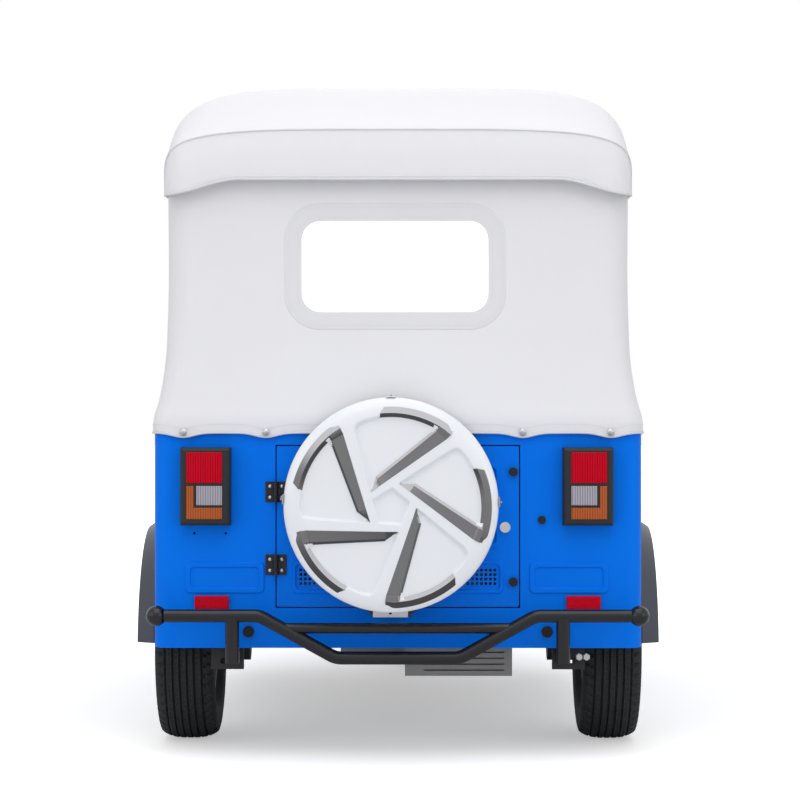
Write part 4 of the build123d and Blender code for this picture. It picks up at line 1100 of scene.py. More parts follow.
    def build_walls(self) -> None:
        """Makes the walls and cuts the window out of them."""
        grid = self.wall_grid()
        place = Place("root", "canvas_white", ("canopy_walls",))
        walls = make_piece("hood_walls", patch(grid), WHITE_CANVAS, place, wall=self.canvas)
        ring = self.window_ring(-0.004)
        ends = [np.stack([ring[:, 0], np.full(len(ring), REAR + d), ring[:, 1]], -1) for d in (-0.05, 0.12)]
        middles = [np.repeat(end.mean(0)[None], len(ring), 0) for end in ends]
        cutter_mesh = patch(np.stack([middles[0], ends[0], ends[1], middles[1]]), around=True)
        cutter = make_piece("window_cutter", cutter_mesh, WHITE_CANVAS, Place("root", "canvas_white"))
        cut = walls.modifiers.new("window", "BOOLEAN")
        cut.object = cutter
        cut.operation = "DIFFERENCE"
        apply_modifiers(walls)
        bpy.data.objects.remove(cutter)
        edges = [tube(even(grid[:, side], 90), 0.006, (1, 0, 0), 10) for side in (0, -1)]
        hem = even(grid[0], 400) + np.array([0, 0, 0.0005])
        edges.append(tube(hem, 0.0028, (0, 0, 1), 8))
        binding = make_piece("wall_binding", joined(*edges), PIPING, Place("root", "canvas_white"))
        row = even(grid[3], 500)
        outward = np.stack(
            [row[:, 0] * 0.0016 / BODY_HALF, np.full(len(row), -0.0012), np.zeros(len(row))], -1
        )
        seam = stitched(row + outward, 0.006, 0.004, 0.0005, (0, 0, 1))
        stitches = make_piece("wall_stitches", seam, THREAD, Place("root", "canvas_white"))

    def build_window(self) -> None:
        """Makes the welded surround and the milky film inside it."""
        grows = np.array([-0.0045, -0.0035, 0.0, self.surround - 0.004, self.surround - 0.001, self.surround])
        outs = np.array([-0.0005, 0.0016, 0.0018, 0.0018, 0.0012, -0.0003])
        rings = np.stack([self.on_wall(self.window_ring(g), o) for g, o in zip(grows, outs)])
        make_piece("window_surround", patch(rings, around=True), WELD, Place("root", "canvas_white"))
        outline = self.window_ring(0.002)
        middle = np.array([self.window_x, self.window[3]])
        shares = np.linspace(1, 0, 24)[:, None, None]
        flat = middle + (outline - middle)[None] * shares
        x, z = flat[..., 0], flat[..., 1]
        wave = 0.0022 * np.sin(9 * (x + 0.4 * z)) * (1 - shares[..., 0] ** 4)
        film = np.stack([x, self.wall_y(x, z) + 0.0018 + wave, z], -1)
        place = Place("root", "clear_film", ("window_film",))
        pane = make_piece("window_pane", patch(film, around=True), CLEAR_FILM, place, wall=0.0008)

    def build_studs(self) -> None:
        """Makes the domed studs that hold the hem."""
        profile = np.array([
            (0.0035, 0.0), (0.0035, 0.0088), (0.0, 0.0092), (-0.0012, 0.0086), (-0.0022, 0.0066),
            (-0.0040, 0.0060), (-0.0054, 0.0040), (-0.0060, 0.0),
        ])
        back = np.stack([self.stud_x, np.full(6, REAR - 0.0095), np.full(6, self.stud_z)], -1)
        dome = turned(profile, np.zeros(3), Axis.Y, 24)
        side_profile = profile * np.array([-1.0, 1.0])
        side_dome = turned(side_profile, np.zeros(3), Axis.X, 24)
        y = REAR + self.WALL[0, 3] + np.array([0.10, 0.30, 0.50])
        right = np.stack([np.full(3, self.WALL[0, 1] + 0.0045), y, np.full(3, self.stud_z)], -1)
        studs = joined(copies(dome, back), both_sides(copies(side_dome, right)))
        make_piece("hem_studs", studs, GALVANISED, Place("root", "galvanised"))


def apply_modifiers(piece: bpy.types.Object) -> None:
    """Turns a piece's modifiers into its mesh."""
    bpy.context.view_layer.update()
    final = bpy.data.meshes.new_from_object(piece.evaluated_get(bpy.context.evaluated_depsgraph_get()))
    piece.modifiers.clear()
    piece.data = final


@dataclass
class SpareCover:
    """The moulded cover of the spare wheel, pressed with a pinwheel of five arms.

    Lengths on its face are shares of its radius. An arm's edges are straight lines: a line has a
    direction, measured from the arm's own angle, and a distance from the pinwheel's middle.

    Args:
        arms: How many arms turn about the middle.
        first: Angle of the first arm in degrees, anticlockwise from the right.
        drop: How far the pinwheel's middle lies below the cover's.
        band: Direction and distance of the white band's far edge.
        leg: Direction and distance of the grey leg's edge at the band.
        start: Place along the leg where it meets the rim.
        rim: Outer edge, ridge and inner edge of the leg along the rim.
        sweep: Angles that the rim leg covers at its outer and inner edges.
        depth: Depth of the sunk panels in metres.
        inset: Depth of the white face behind the solid's foremost plane, in metres.
        flat: Radius of the flat part of the face.
        edge: Depth of the rounded edge in metres.
    """

    arms: int = 5
    first: float = 51.5
    drop: float = 0.020
    band: tuple[float, float] = (161.0, 0.152)
    leg: tuple[float, float] = (163.4, 0.224)
    start: float = -0.765
    rim: tuple[float, float, float] = (0.935, 0.875, 0.838)
    sweep: tuple[float, float] = (43.0, 47.0)
    depth: float = 0.009
    inset: float = 0.0015
    flat: float = 0.80
    edge: float = 0.024

    # Stations along a leg and its width there: whole to the step, then narrowing to the tip
    LEG_ALONG = np.array([-0.90, -0.05, -0.045, 0.0, 0.075])
    LEG_WIDTH = np.array([0.127, 0.070, 0.062, 0.030, 0.0])

    def __post_init__(self) -> None:
        """Reads the cover's radius and face from its solid."""
        self.radius = (high("spare_cover").x - low("spare_cover").x) / 2
        self.face = low("spare_cover").y
        self.back = high("spare_cover").y
        self.centre = np.array([SPARE_X, self.face, SPARE_Z])

    def line(self, which: tuple[float, float], arm: int) -> tuple[Array, Array, float]:
        """A line's direction, its normal towards the middle, and its distance."""
        angle = math.radians(self.first + 360 / self.arms * arm + which[0])
        tangent = np.array([math.cos(angle), math.sin(angle)])
        return tangent, np.array([-tangent[1], tangent[0]]), which[1]

    def off_line(self, x: Array, z: Array, which: tuple[float, float], arm: int) -> tuple[Array, Array]:
        """Length along an arm's line and distance beyond it, away from the middle."""
        tangent, normal, distance = self.line(which, arm)
        return x * tangent[0] + z * tangent[1], -(x * normal[0] + z * normal[1]) - distance

    def beyond(self, along: Array, off: Array, arm: int) -> Array:
        """Points on the face from a length along the arm's leg edge and a distance beyond it."""
        tangent, normal, distance = self.line(self.leg, arm)
        return along[..., None] * tangent - (distance + off)[..., None] * normal

    def leg_width(self, along: Array) -> Array:
        """Width of the leg at a length along it."""
        return np.interp(along, self.LEG_ALONG, self.LEG_WIDTH)

    def soft_least(self, values: list[Array], soft: float = 0.007) -> Array:
        """The least of several fields, rounded where two are close."""
        return -soft * np.log(sum(np.exp(-np.clip(v, -0.4, 0.4) / soft) for v in values))

    def rim_limit(self, x: Array, z: Array, arm: int) -> Array:
        """Radius where an arm's sunk panel ends: further out behind the leg along the rim."""
        angle = np.degrees(np.arctan2(z, x)) - self.first - 360 / self.arms * arm
        angle = (angle + 180) % 360 - 180
        behind = smoothstep(angle, 0.0, 4.0) * (1 - smoothstep(angle, self.sweep[1] - 3, self.sweep[1]))
        return self.rim[2] + 0.008 + 0.022 * behind

    def sunk(self, x: Array, z: Array) -> Array:
        """How far each point lies inside a sunk panel, negative outside.

        A panel lies beyond its arm's leg, short of the next arm's band and within the rim. The
        middle is sunk too, short of every band.

        Args:
            x: Side distances as shares of the radius.
            z: Upward distances as shares of the radius.

        Returns:
            The signed distance as a share of the radius.
        """
        radial = np.hypot(x, z)
        bands = [-self.off_line(x, z, self.band, arm)[1] for arm in range(self.arms)]
        best = self.soft_least(bands)
        for arm in range(self.arms):
            along, off = self.off_line(x, z, self.leg, arm)
            fields = [
                off - self.leg_width(along), bands[(arm + 1) % self.arms],
                self.rim_limit(x, z, arm) - radial
            ]
            best = np.maximum(best, self.soft_least(fields, 0.012 + 0.020 * smoothstep(radial, 0.6, 0.8)))
        return best

    def base(self, radial: Array) -> Array:
        """Drop of the face in metres: none on the flat part, then a quarter ellipse to the edge."""
        share = np.clip((radial - self.flat) / (1 - self.flat), 0, 1)
        return self.edge * (1 - np.sqrt(1 - share**2))

    def relief(self, x: Array, z: Array) -> Array:
        """Height of the white face about the pinwheel's middle, without the rounded edge.

        Panels drop by the depth. Under a leg the face slopes down across the leg's width.
        """
        drop = self.depth * smoothstep(self.sunk(x, z), -0.004, 0.018)
        for arm in range(self.arms):
            along, off = self.off_line(x, z, self.leg, arm)
            width = self.leg_width(along)
            inside = (along > self.start - 0.05) & (along < 0.075) & (off > 0) & (off < width + 0.01)
            share = np.clip(off / np.maximum(width, 0.01), 0, 1)
            drop = np.maximum(drop, np.where(inside, 0.0062 * share, 0))
        return -self.inset - drop

    def points(self, flat: Array, height: Array) -> Array:
        """Points of the face from shares about the pinwheel's middle, and a height over the edge's curve."""
        z = flat[..., 1] - self.drop
        y = self.base(np.hypot(flat[..., 0], z)) - height
        return self.centre + np.stack([flat[..., 0] * self.radius, y, z * self.radius], -1)

    def face_shell(self) -> Shell:
        """The face, its rounded edge, the side wall and the inside as one surface of rings."""
        angle = np.arange(660) * CIRCLE / 660
        bend = np.linspace(0, math.pi / 2, 28)[1:]
        radii = np.concatenate(
            [np.linspace(0, self.flat, 96), self.flat + (1 - self.flat) * np.sin(bend)]
        )[:, None]
        flat = np.stack([radii * np.cos(angle), radii * np.sin(angle) + self.drop], -1)
        fade = 1 - smoothstep(radii, 0.94, 0.98)
        face = self.points(flat, (self.relief(flat[..., 0], flat[..., 1]) + self.inset) * fade - self.inset)
        end = self.back - self.face
        wall = 0.003 / self.radius
        ring = np.array([(1, 0.06), (1, 0.11), (1, end - 0.004), (1 - 0.3 * wall, end), (1 - wall, end),
                         (1 - wall, 0.034), (1 - 9 * wall, 0.0185), (0, 0.0185)])
        side = np.stack([ring[:, 0:1] * self.radius * np.cos(angle), ring[:, 1:2] + 0 * angle,
                         ring[:, 0:1] * self.radius * np.sin(angle)], -1) + self.centre
        return patch(np.concatenate([face, side]), around=True)

    def leg_shell(self, arm: int) -> Shell:
        """One grey leg: a strip that slopes to its panel, with a bevel down into the panel.

        A point lies at a length along the leg and a share of its width beyond its edge line.

        Args:
            arm: The arm's number.

        Returns:
            The leg's surface, with the corner that joins it to the rim leg.
        """
        along = np.concatenate(
            [np.linspace(self.start, -0.05, 44), np.linspace(-0.045, 0.0, 6), np.linspace(0.01, 0.075, 9)]
        )
        share = np.array([0.0, 0.0, 0.02, 0.95, 1.0, 1.0])
        rise = np.array([-0.005, 0.0, 0.0004, -0.0029, -0.0033, -0.0082]) + 0.0003 - self.inset
        width = self.leg_width(along)[:, None]
        across = width * share + np.array([0, 0, 0, 0, 0, 0.020]) * np.minimum(1, width / 0.03)
        slant = 0.03 * (share - 0.5) * (1 - smoothstep(along[:, None], self.start, -0.45))
        flat = self.beyond(along[:, None] + slant, across, arm)
        leg = self.points(flat, rise + 0 * width)
        corner_angle = np.radians(
            self.first + 360 / self.arms * arm + np.array([-1.0, -1.0, -0.8, 6.8, 7.2, 7.6])
        )
        ridge = self.rim[1] * np.stack([np.cos(corner_angle), np.sin(corner_angle)], -1)
        steps = np.linspace(1, 0, 6)[:, None, None]
        corner = ridge * steps + flat[0] * (1 - steps)
        lift = self.ridge_height() - np.array([0.004, 0, 0, 0, 0.0004, 0.006])
        height = lift * steps[..., 0] + rise * (1 - steps[..., 0])
        return joined(patch(leg), patch(self.points(corner, height)))

    def ridge_height(self) -> float:
        """Height of the rim leg's ridge over the edge's curve, just short of the solid's plane."""
        return self.base(np.array([self.rim[1]]))[0] - 0.0002

    def rim_shell(self, arm: int) -> Shell:
        """One grey rim leg: an outer facet and a steeper inner bevel along an arc.

        A point lies at an angle from the arm's start and a radius between the edges; the far end
        is slanted, and the outer corner at the near end is round.

        Args:
            arm: The arm's number.

        Returns:
            The rim leg's surface.
        """
        start = math.radians(self.first + 360 / self.arms * arm)
        sweep = np.linspace(0, 1, 64)[:, None]
        outer, ridge, inner = self.rim
        radius = np.array([outer, outer, outer - 0.004, ridge + 0.001, ridge - 0.001, inner])
        height = np.array(
            [-0.006, 0.0003, 0.0008, self.ridge_height(), self.ridge_height() - 0.0004, -0.0082]
        )
        height = height - np.array([1, 1, 1, 0, 0, 1]) * self.inset
        share = (outer - radius) / (outer - inner)
        begin = np.radians(np.array([-0.5, -0.5, -0.7, -1.0, 1.0, 1.5]))
        end = np.radians(self.sweep[0] + (self.sweep[1] - self.sweep[0]) * share)
        angle = start + begin + (end - begin) * sweep
        rounding = 0.030 * np.exp(-((angle - start) / 0.045) ** 2) * (1 - share) ** 2
        flat = (radius - rounding)[..., None] * np.stack([np.cos(angle), np.sin(angle)], -1)
        fall = smoothstep(sweep, 0.985, 1.0) * 0.004
        return patch(self.points(flat, height - fall))

    def build(self) -> None:
        """Makes the cover, its grey legs and its three clips."""
        place = Place("rear_door", "cover_white", ("spare_cover",))
        make_piece("spare_cover_shell", self.face_shell(), COVER_WHITE, place, sharp=60)
        legs = [maker(arm) for arm in range(self.arms) for maker in (self.leg_shell, self.rim_shell)]
        flipped = [Shell(leg.points, leg.quads[:, ::-1]) for leg in legs]
        # The grey legs' colour carries painted highlight and painted shade by facing.
        make_piece(
            "cover_inlays", joined(*flipped), INLAY_PAINTED_LIGHT, Place("rear_door", "cover_white"), sharp=7,
            outward=False
        )
        clips = [self.clip_shell(math.radians(angle)) for angle in (90.0, 177.0, 1.5)]
        make_piece("cover_clips", joined(*clips), GALVANISED, Place("rear_door", "galvanised"), bevel=0.0008)

    def clip_shell(self, angle: float) -> Shell:
        """A sprung clip over the rim: a folded strip with a small lever.

        Args:
            angle: Its place round the rim.

        Returns:
            The clip's surface.
        """
        reach = self.radius
        outward = np.array([math.cos(angle), 0, math.sin(angle)])
        middle = np.array([SPARE_X, 0, SPARE_Z])
        depth = np.array([0.016, 0.020, 0.030, 0.070, 0.075])
        rise = np.array([0.0005, 0.0030, 0.0034, 0.0034, 0.0005])
        path = middle + outward * (reach + rise)[:, None] + np.stack(
            [0 * depth, self.face + depth, 0 * depth], -1
        )
        section = rounded_outline(0.024, 0.0020, 0.0008, 16)
        side = np.cross(outward, [0, 1, 0])
        across = section[:, 0:1] * side + section[:, 1:2] * outward
        strip = patch(
            np.concatenate(
                [path[:1, None] + 0 * across, path[:, None] + across, path[-1:, None] + 0 * across]
            ),
            around=True
        )
        lever = path[1:4:2] + outward * 0.003
        return joined(strip, tube(even(lever, 8), 0.0022, tuple(side), 8))


@dataclass
class Tyre:
    """A road tyre with ring grooves and notched shoulders.

    Args:
        node: The solid that it stands for.
        body: The wheel that it turns with.
        ribs: X places of the ring grooves, as shares of half the width.
        groove: Depth of a groove in metres.
        blocks: Notches round each shoulder.
    """

    node: str
    body: str
    ribs: tuple[float, ...] = (-0.62, -0.36, -0.12, 0.12, 0.36, 0.62)
    groove: float = 0.006
    blocks: int = 54

    # Raised rings on each side wall: radius as a share of the tyre's, and half its width
    RINGS = ((0.80, 0.0022), (0.87, 0.0018))

    def build(self) -> None:
        """Makes the tyre as a turned profile whose tread is pressed in at grooves and notches.

        The outer radius falls off towards the shoulders as a power of the share of half width.
        Each groove lowers it by a bell of the distance to the groove, and each notch lowers the
        shoulder by a steep wave of the angle.
        """
        box_low, box_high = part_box(self.node)
        centre = np.array((box_low + box_high) / 2)
        radius = (box_high.z - box_low.z) / 2
        half = (box_high.x - box_low.x) / 2
        share = np.linspace(-0.90, 0.90, 109)
        crown = radius - 0.0135 * np.abs(share / 0.9) ** 3.2
        cuts = np.exp(-(((share[:, None] - np.array(self.ribs)) / 0.028) ** 4)).sum(1)
        angle = np.arange(self.blocks * 6) * CIRCLE / (self.blocks * 6)
        wave = smoothstep(np.cos(self.blocks * angle[None] + 5.0 * np.abs(share[:, None])), 0.55, 0.85)
        shoulder = smoothstep(np.abs(share), 0.64, 0.70)[:, None]
        fine = smoothstep(np.cos(2 * self.blocks * angle[None] + 9 * share[:, None]), 0.90, 0.97)
        tread = (
            crown[:, None]
            - self.groove * cuts[:, None]
            - 0.005 * wave * shoulder
            - 0.002 * fine * (1 - shoulder)
        )
        tread_x = np.repeat(share[:, None] * half, len(angle), 1)
        wall = np.array(
            [
                (0.955, 0.933), (0.985, 0.905), (1.0, 0.82), (0.99, 0.745), (0.93, 0.69), (0.80, 0.645),
                (0.735, 0.602)
            ]
        )
        wall_x = np.repeat(wall[:, 0:1] * half, len(angle), 1)
        notch = 0.004 * wave[-1][None] * np.array([1, 0.6, 0, 0, 0, 0, 0])[:, None]
        wall_r = wall[:, 1:2] * radius - notch
        x = np.concatenate([-wall_x[::-1], tread_x, wall_x, wall_x[-1:] * 0.7, -wall_x[-1:] * 0.7])
        r = np.concatenate([wall_r[::-1], tread, wall_r, wall_r[-1:] + 0.004, wall_r[-1:] + 0.004])
        closed = np.concatenate([x, x[:1]]), np.concatenate([r, r[:1]])
        points = np.stack([closed[0], closed[1] * np.cos(angle), closed[1] * np.sin(angle)], -1) + centre
        rings = []
        for side in (-1, 1):
            inner = side * half * 0.965
            for reach, rise in self.RINGS:
                ring = np.array([
                    (
                        inner, radius * reach - rise
                    ), (side * half, radius * reach), (inner, radius * reach + rise),
                ])
                rings.append(turned(ring, centre, Axis.X, 120))
        place = Place(self.body, "tyre", (self.node,))
        make_piece(
            self.node + "_tread", joined(patch(points, around=True), *rings), TYRE_RUBBER, place, sharp=40,
            outward=False
        )


@dataclass
class Fasteners:
    """Bolt heads on the hinges, the lamps, the bumper and the body.

    Args:
        head: Radius of a hinge bolt's head.
        rise: Height of the head.
    """

    head: float = 0.0048
    rise: float = 0.0035

    def dome(self, radius: float, rise: float) -> Shell:
        """A domed head that faces the rear: a quarter round turned about Y."""
        angle = np.linspace(0, math.pi / 2, 6)
        profile = np.stack([-rise * np.sin(angle), radius * np.cos(angle)], -1)
        profile = np.concatenate([[(0.001, 0.0), (0.001, radius)], profile])
        return turned(profile, np.zeros(3), Axis.Y, 16)

    def build(self) -> None:
        """Makes the heads, placed from the boxes of what they hold."""
        self.hinge_bolts("body_hinges", "root", 0.35)
        self.hinge_bolts("door_hinges", "rear_door", 0.65)
        plate_low, plate_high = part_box("carrier_plate")
        hole = np.array([((plate_low.x + plate_high.x) / 2, plate_low.y, (plate_low.z + plate_high.z) / 2)])
        make_piece(
            "plate_rivet", copies(self.dome(0.004, 0.002), hole), CHASSIS_BLACK,
            Place("rear_door", "black_steel")
        )
        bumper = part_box("rear_bumper")
        ends = np.array([(x, bumper[1].y - 0.03, 0.249) for x in (0.444, 0.462)])
        heads = turned(
            np.array([(0.012, 0.0), (0.012, 0.009), (-0.006, 0.009), (-0.006, 0.0)]), np.zeros(3), Axis.Y, 6
        )
        make_piece("bracket_bolts", copies(heads, ends), GALVANISED, Place("root", "galvanised"), bevel=0.001)

    def hinge_bolts(self, node: str, body: str, share: float) -> None:
        """Four heads, two on each leaf, of one pair of hinges.

        Args:
            node: The leaves' solid.
            body: The body that they ride on.
            share: Place of the heads across the leaf.
        """
        box_low, box_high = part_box(node)
        across = box_low.x + (box_high.x - box_low.x) * share
        leaf_face = REAR - 0.0033
        heights = [box_low.z + 0.0115, box_low.z + 0.0385, box_high.z - 0.0385, box_high.z - 0.0115]
        places = np.array([(across, leaf_face, z) for z in heights])
        make_piece(
            node + "_bolts", copies(self.dome(self.head, self.rise), places), GALVANISED,
            Place(body, "galvanised")
        )


@dataclass
class Pad:
    """A stuffed seat pad with sewn channels, swollen by a cloth simulation.

    Args:
        name: The piece's name.
        low: Lowest corner of the space that it fills.
        high: Highest corner of that space.
        face: The axis that its sewn face looks along.
        channels: Number of sewn channels across it.
        stands_for: The solids that it replaces.
        inset: How much smaller it starts.
        cap: The farthest that a point may swell.
        voxel: Size of the remeshed faces.
    """

    name: str
    low: tuple[float, float, float]
    high: tuple[float, float, float]
    face: Axis
    channels: int
    stands_for: tuple[str, ...] = ()
    inset: float = 0.009
    cap: float = 0.0085
    voxel: float = 0.010

    def block(self) -> bpy.types.Object:
        """A block with round edges, remeshed evenly."""
        low_corner, high_corner = np.array(self.low) + self.inset, np.array(self.high) - self.inset
        if self.face is Axis.Z:
            low_corner[2] = self.low[2] + 0.0006
        signs = np.stack(np.meshgrid([0, 1], [0, 1], [0, 1], indexing="ij"), -1).reshape(-1, 3)
        quads = np.array([(0, 1, 3, 2), (4, 6, 7, 5), (0, 4, 5, 1), (2, 3, 7, 6), (0, 2, 6, 4), (1, 5, 7, 3)])
        mesh = bpy.data.meshes.new(self.name)
        mesh.from_pydata((low_corner + signs * (high_corner - low_corner)).tolist(), [], quads.tolist())
        pad = add_object(self.name, mesh)
        edge = pad.modifiers.new("edge", "BEVEL")
        edge.width = 0.024
        edge.segments = 4
        grid = pad.modifiers.new("grid", "REMESH")
        grid.mode = "VOXEL"
        grid.voxel_size = self.voxel
        apply_modifiers(pad)
        return pad

    def swell(self, pad: bpy.types.Object) -> None:
        """Blows the pad up from inside as cloth, and caps how far each point has moved."""
        start = self.coordinates(pad)
        cloth = pad.modifiers.new("cloth", "CLOTH")
        cloth.settings.use_pressure = True
        cloth.settings.uniform_pressure_force = 4.0
        cloth.settings.effector_weights.gravity = 0.0
        for step in range(1, 21):
            bpy.context.scene.frame_set(step)
        apply_modifiers(pad)
        bpy.context.scene.frame_set(1)
        move = self.coordinates(pad) - start
        length = np.linalg.norm(move, axis=1, keepdims=True)
        self.set_coordinates(pad, start + move * np.minimum(1, self.cap / np.maximum(length, 1e-9)))

    def coordinates(self, pad: bpy.types.Object) -> Array:
        """The points of the pad's mesh."""
        flat = np.empty(len(pad.data.vertices) * 3)
        pad.data.vertices.foreach_get("co", flat)
        return flat.reshape(-1, 3)

    def set_coordinates(self, pad: bpy.types.Object, points: Array) -> None:
        """Moves the points of the pad's mesh, held inside the space that it fills."""
        held = np.clip(points, np.array(self.low) + 0.0004, np.array(self.high) - 0.0004)
        pad.data.vertices.foreach_set("co", held.ravel())
        pad.data.update()

    def sew(self, pad: bpy.types.Object) -> None:
        """Presses the channels in.

        Each channel lowers the sewn face by a bell of the distance to it. The face is crowned
        between the channels, and both fade out towards the pad's edges.
        """
        points = self.coordinates(pad)
        low_corner, high_corner = np.array(self.low), np.array(self.high)
        share = (points - low_corner) / (high_corner - low_corner)
        seams = np.linspace(0, 1, self.channels + 1)[1:-1]
        width = 0.007 / (high_corner[0] - low_corner[0])
        press = np.exp(-(((share[:, 0:1] - seams) / width) ** 2)).sum(1)
        depth_axis = self.face.value
        outward = share[:, depth_axis]
        points[:, depth_axis] -= 0.007 * press * smoothstep(outward, 0.55, 0.85)
        self.set_coordinates(pad, points)

    def piping(self, pad: bpy.types.Object) -> Shell:
        """A welt round the sewn face, laid on the pad."""
        size = np.array(self.high) - np.array(self.low)
        middle = (np.array(self.low) + np.array(self.high)) / 2
        up = 1 if self.face is Axis.Z else 2
        ring = rounded_outline(size[0] - 0.014, size[up] - 0.014, 0.03, 220)
        path = np.zeros((len(ring) + 1, 3))
        path[:, 0] = middle[0] + np.append(ring[:, 0], ring[0, 0])
        path[:, up] = middle[up] + np.append(ring[:, 1], ring[0, 1])
        path[:, self.face.value] = self.high[self.face.value] - 0.016
        laid = [pad.closest_point_on_mesh(point) for point in path.tolist()]
        laid = np.array([found[1] for found in laid])
        side = (0, 0, 1) if self.face is Axis.Z else (0, 1, 0)
        return tube(laid, 0.003, side, 8)

    def build(self) -> None:
        """Makes the pad and its welt."""
        pad = self.block()
        self.swell(pad)
        finer = pad.modifiers.new("finer", "SUBSURF")
        finer.levels = finer.render_levels = 1
        apply_modifiers(pad)
        self.sew(pad)
        mesh = pad.data
        mesh.polygons.foreach_set("use_smooth", np.ones(len(mesh.polygons), bool))
        mesh.materials.clear()
        mesh.materials.append(VINYL.material())
        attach(pad, "root")
        if self.stands_for:
            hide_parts(*self.stands_for)
        make_piece(self.name + "_welt", self.piping(pad), VINYL, Place("root", "vinyl_black"))
        LOG.info("%s: %d faces", self.name, len(mesh.polygons))


def seat_pads() -> list[Pad]:
    """The bench's and the driver's pads, placed in the boxes of their solids."""
    seat_low, seat_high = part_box("seat_cushions")
    back_low, back_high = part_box("seat_backrests")
    driver = (low("driver_seat_box").x, high("driver_seat_box").x)
    bench_z = seat_low.z + 0.0997
    return [
        Pad(
            "bench_cushion", tuple(seat_low), (seat_high.x, seat_low.y + 0.36, bench_z), Axis.Z, 9,
            ("seat_cushions",)
        ),
        Pad("driver_cushion", (driver[0] - 0.025, seat_high.y - 0.3407, seat_high.z - 0.0897),
            (driver[1] + 0.025, seat_high.y, seat_high.z), Axis.Z, 5, voxel=0.008),
        Pad(
            "bench_backrest", tuple(back_low), (back_high.x, back_low.y + 0.0837, back_high.z), Axis.Y, 9,
            ("seat_backrests",)
        ),
        Pad("driver_backrest", (driver[0] - 0.015, back_high.y - 0.074, seat_high.z - 0.0897),
            (driver[1] + 0.015, back_high.y, back_high.z - 0.11), Axis.Y, 5, voxel=0.008),
    ]


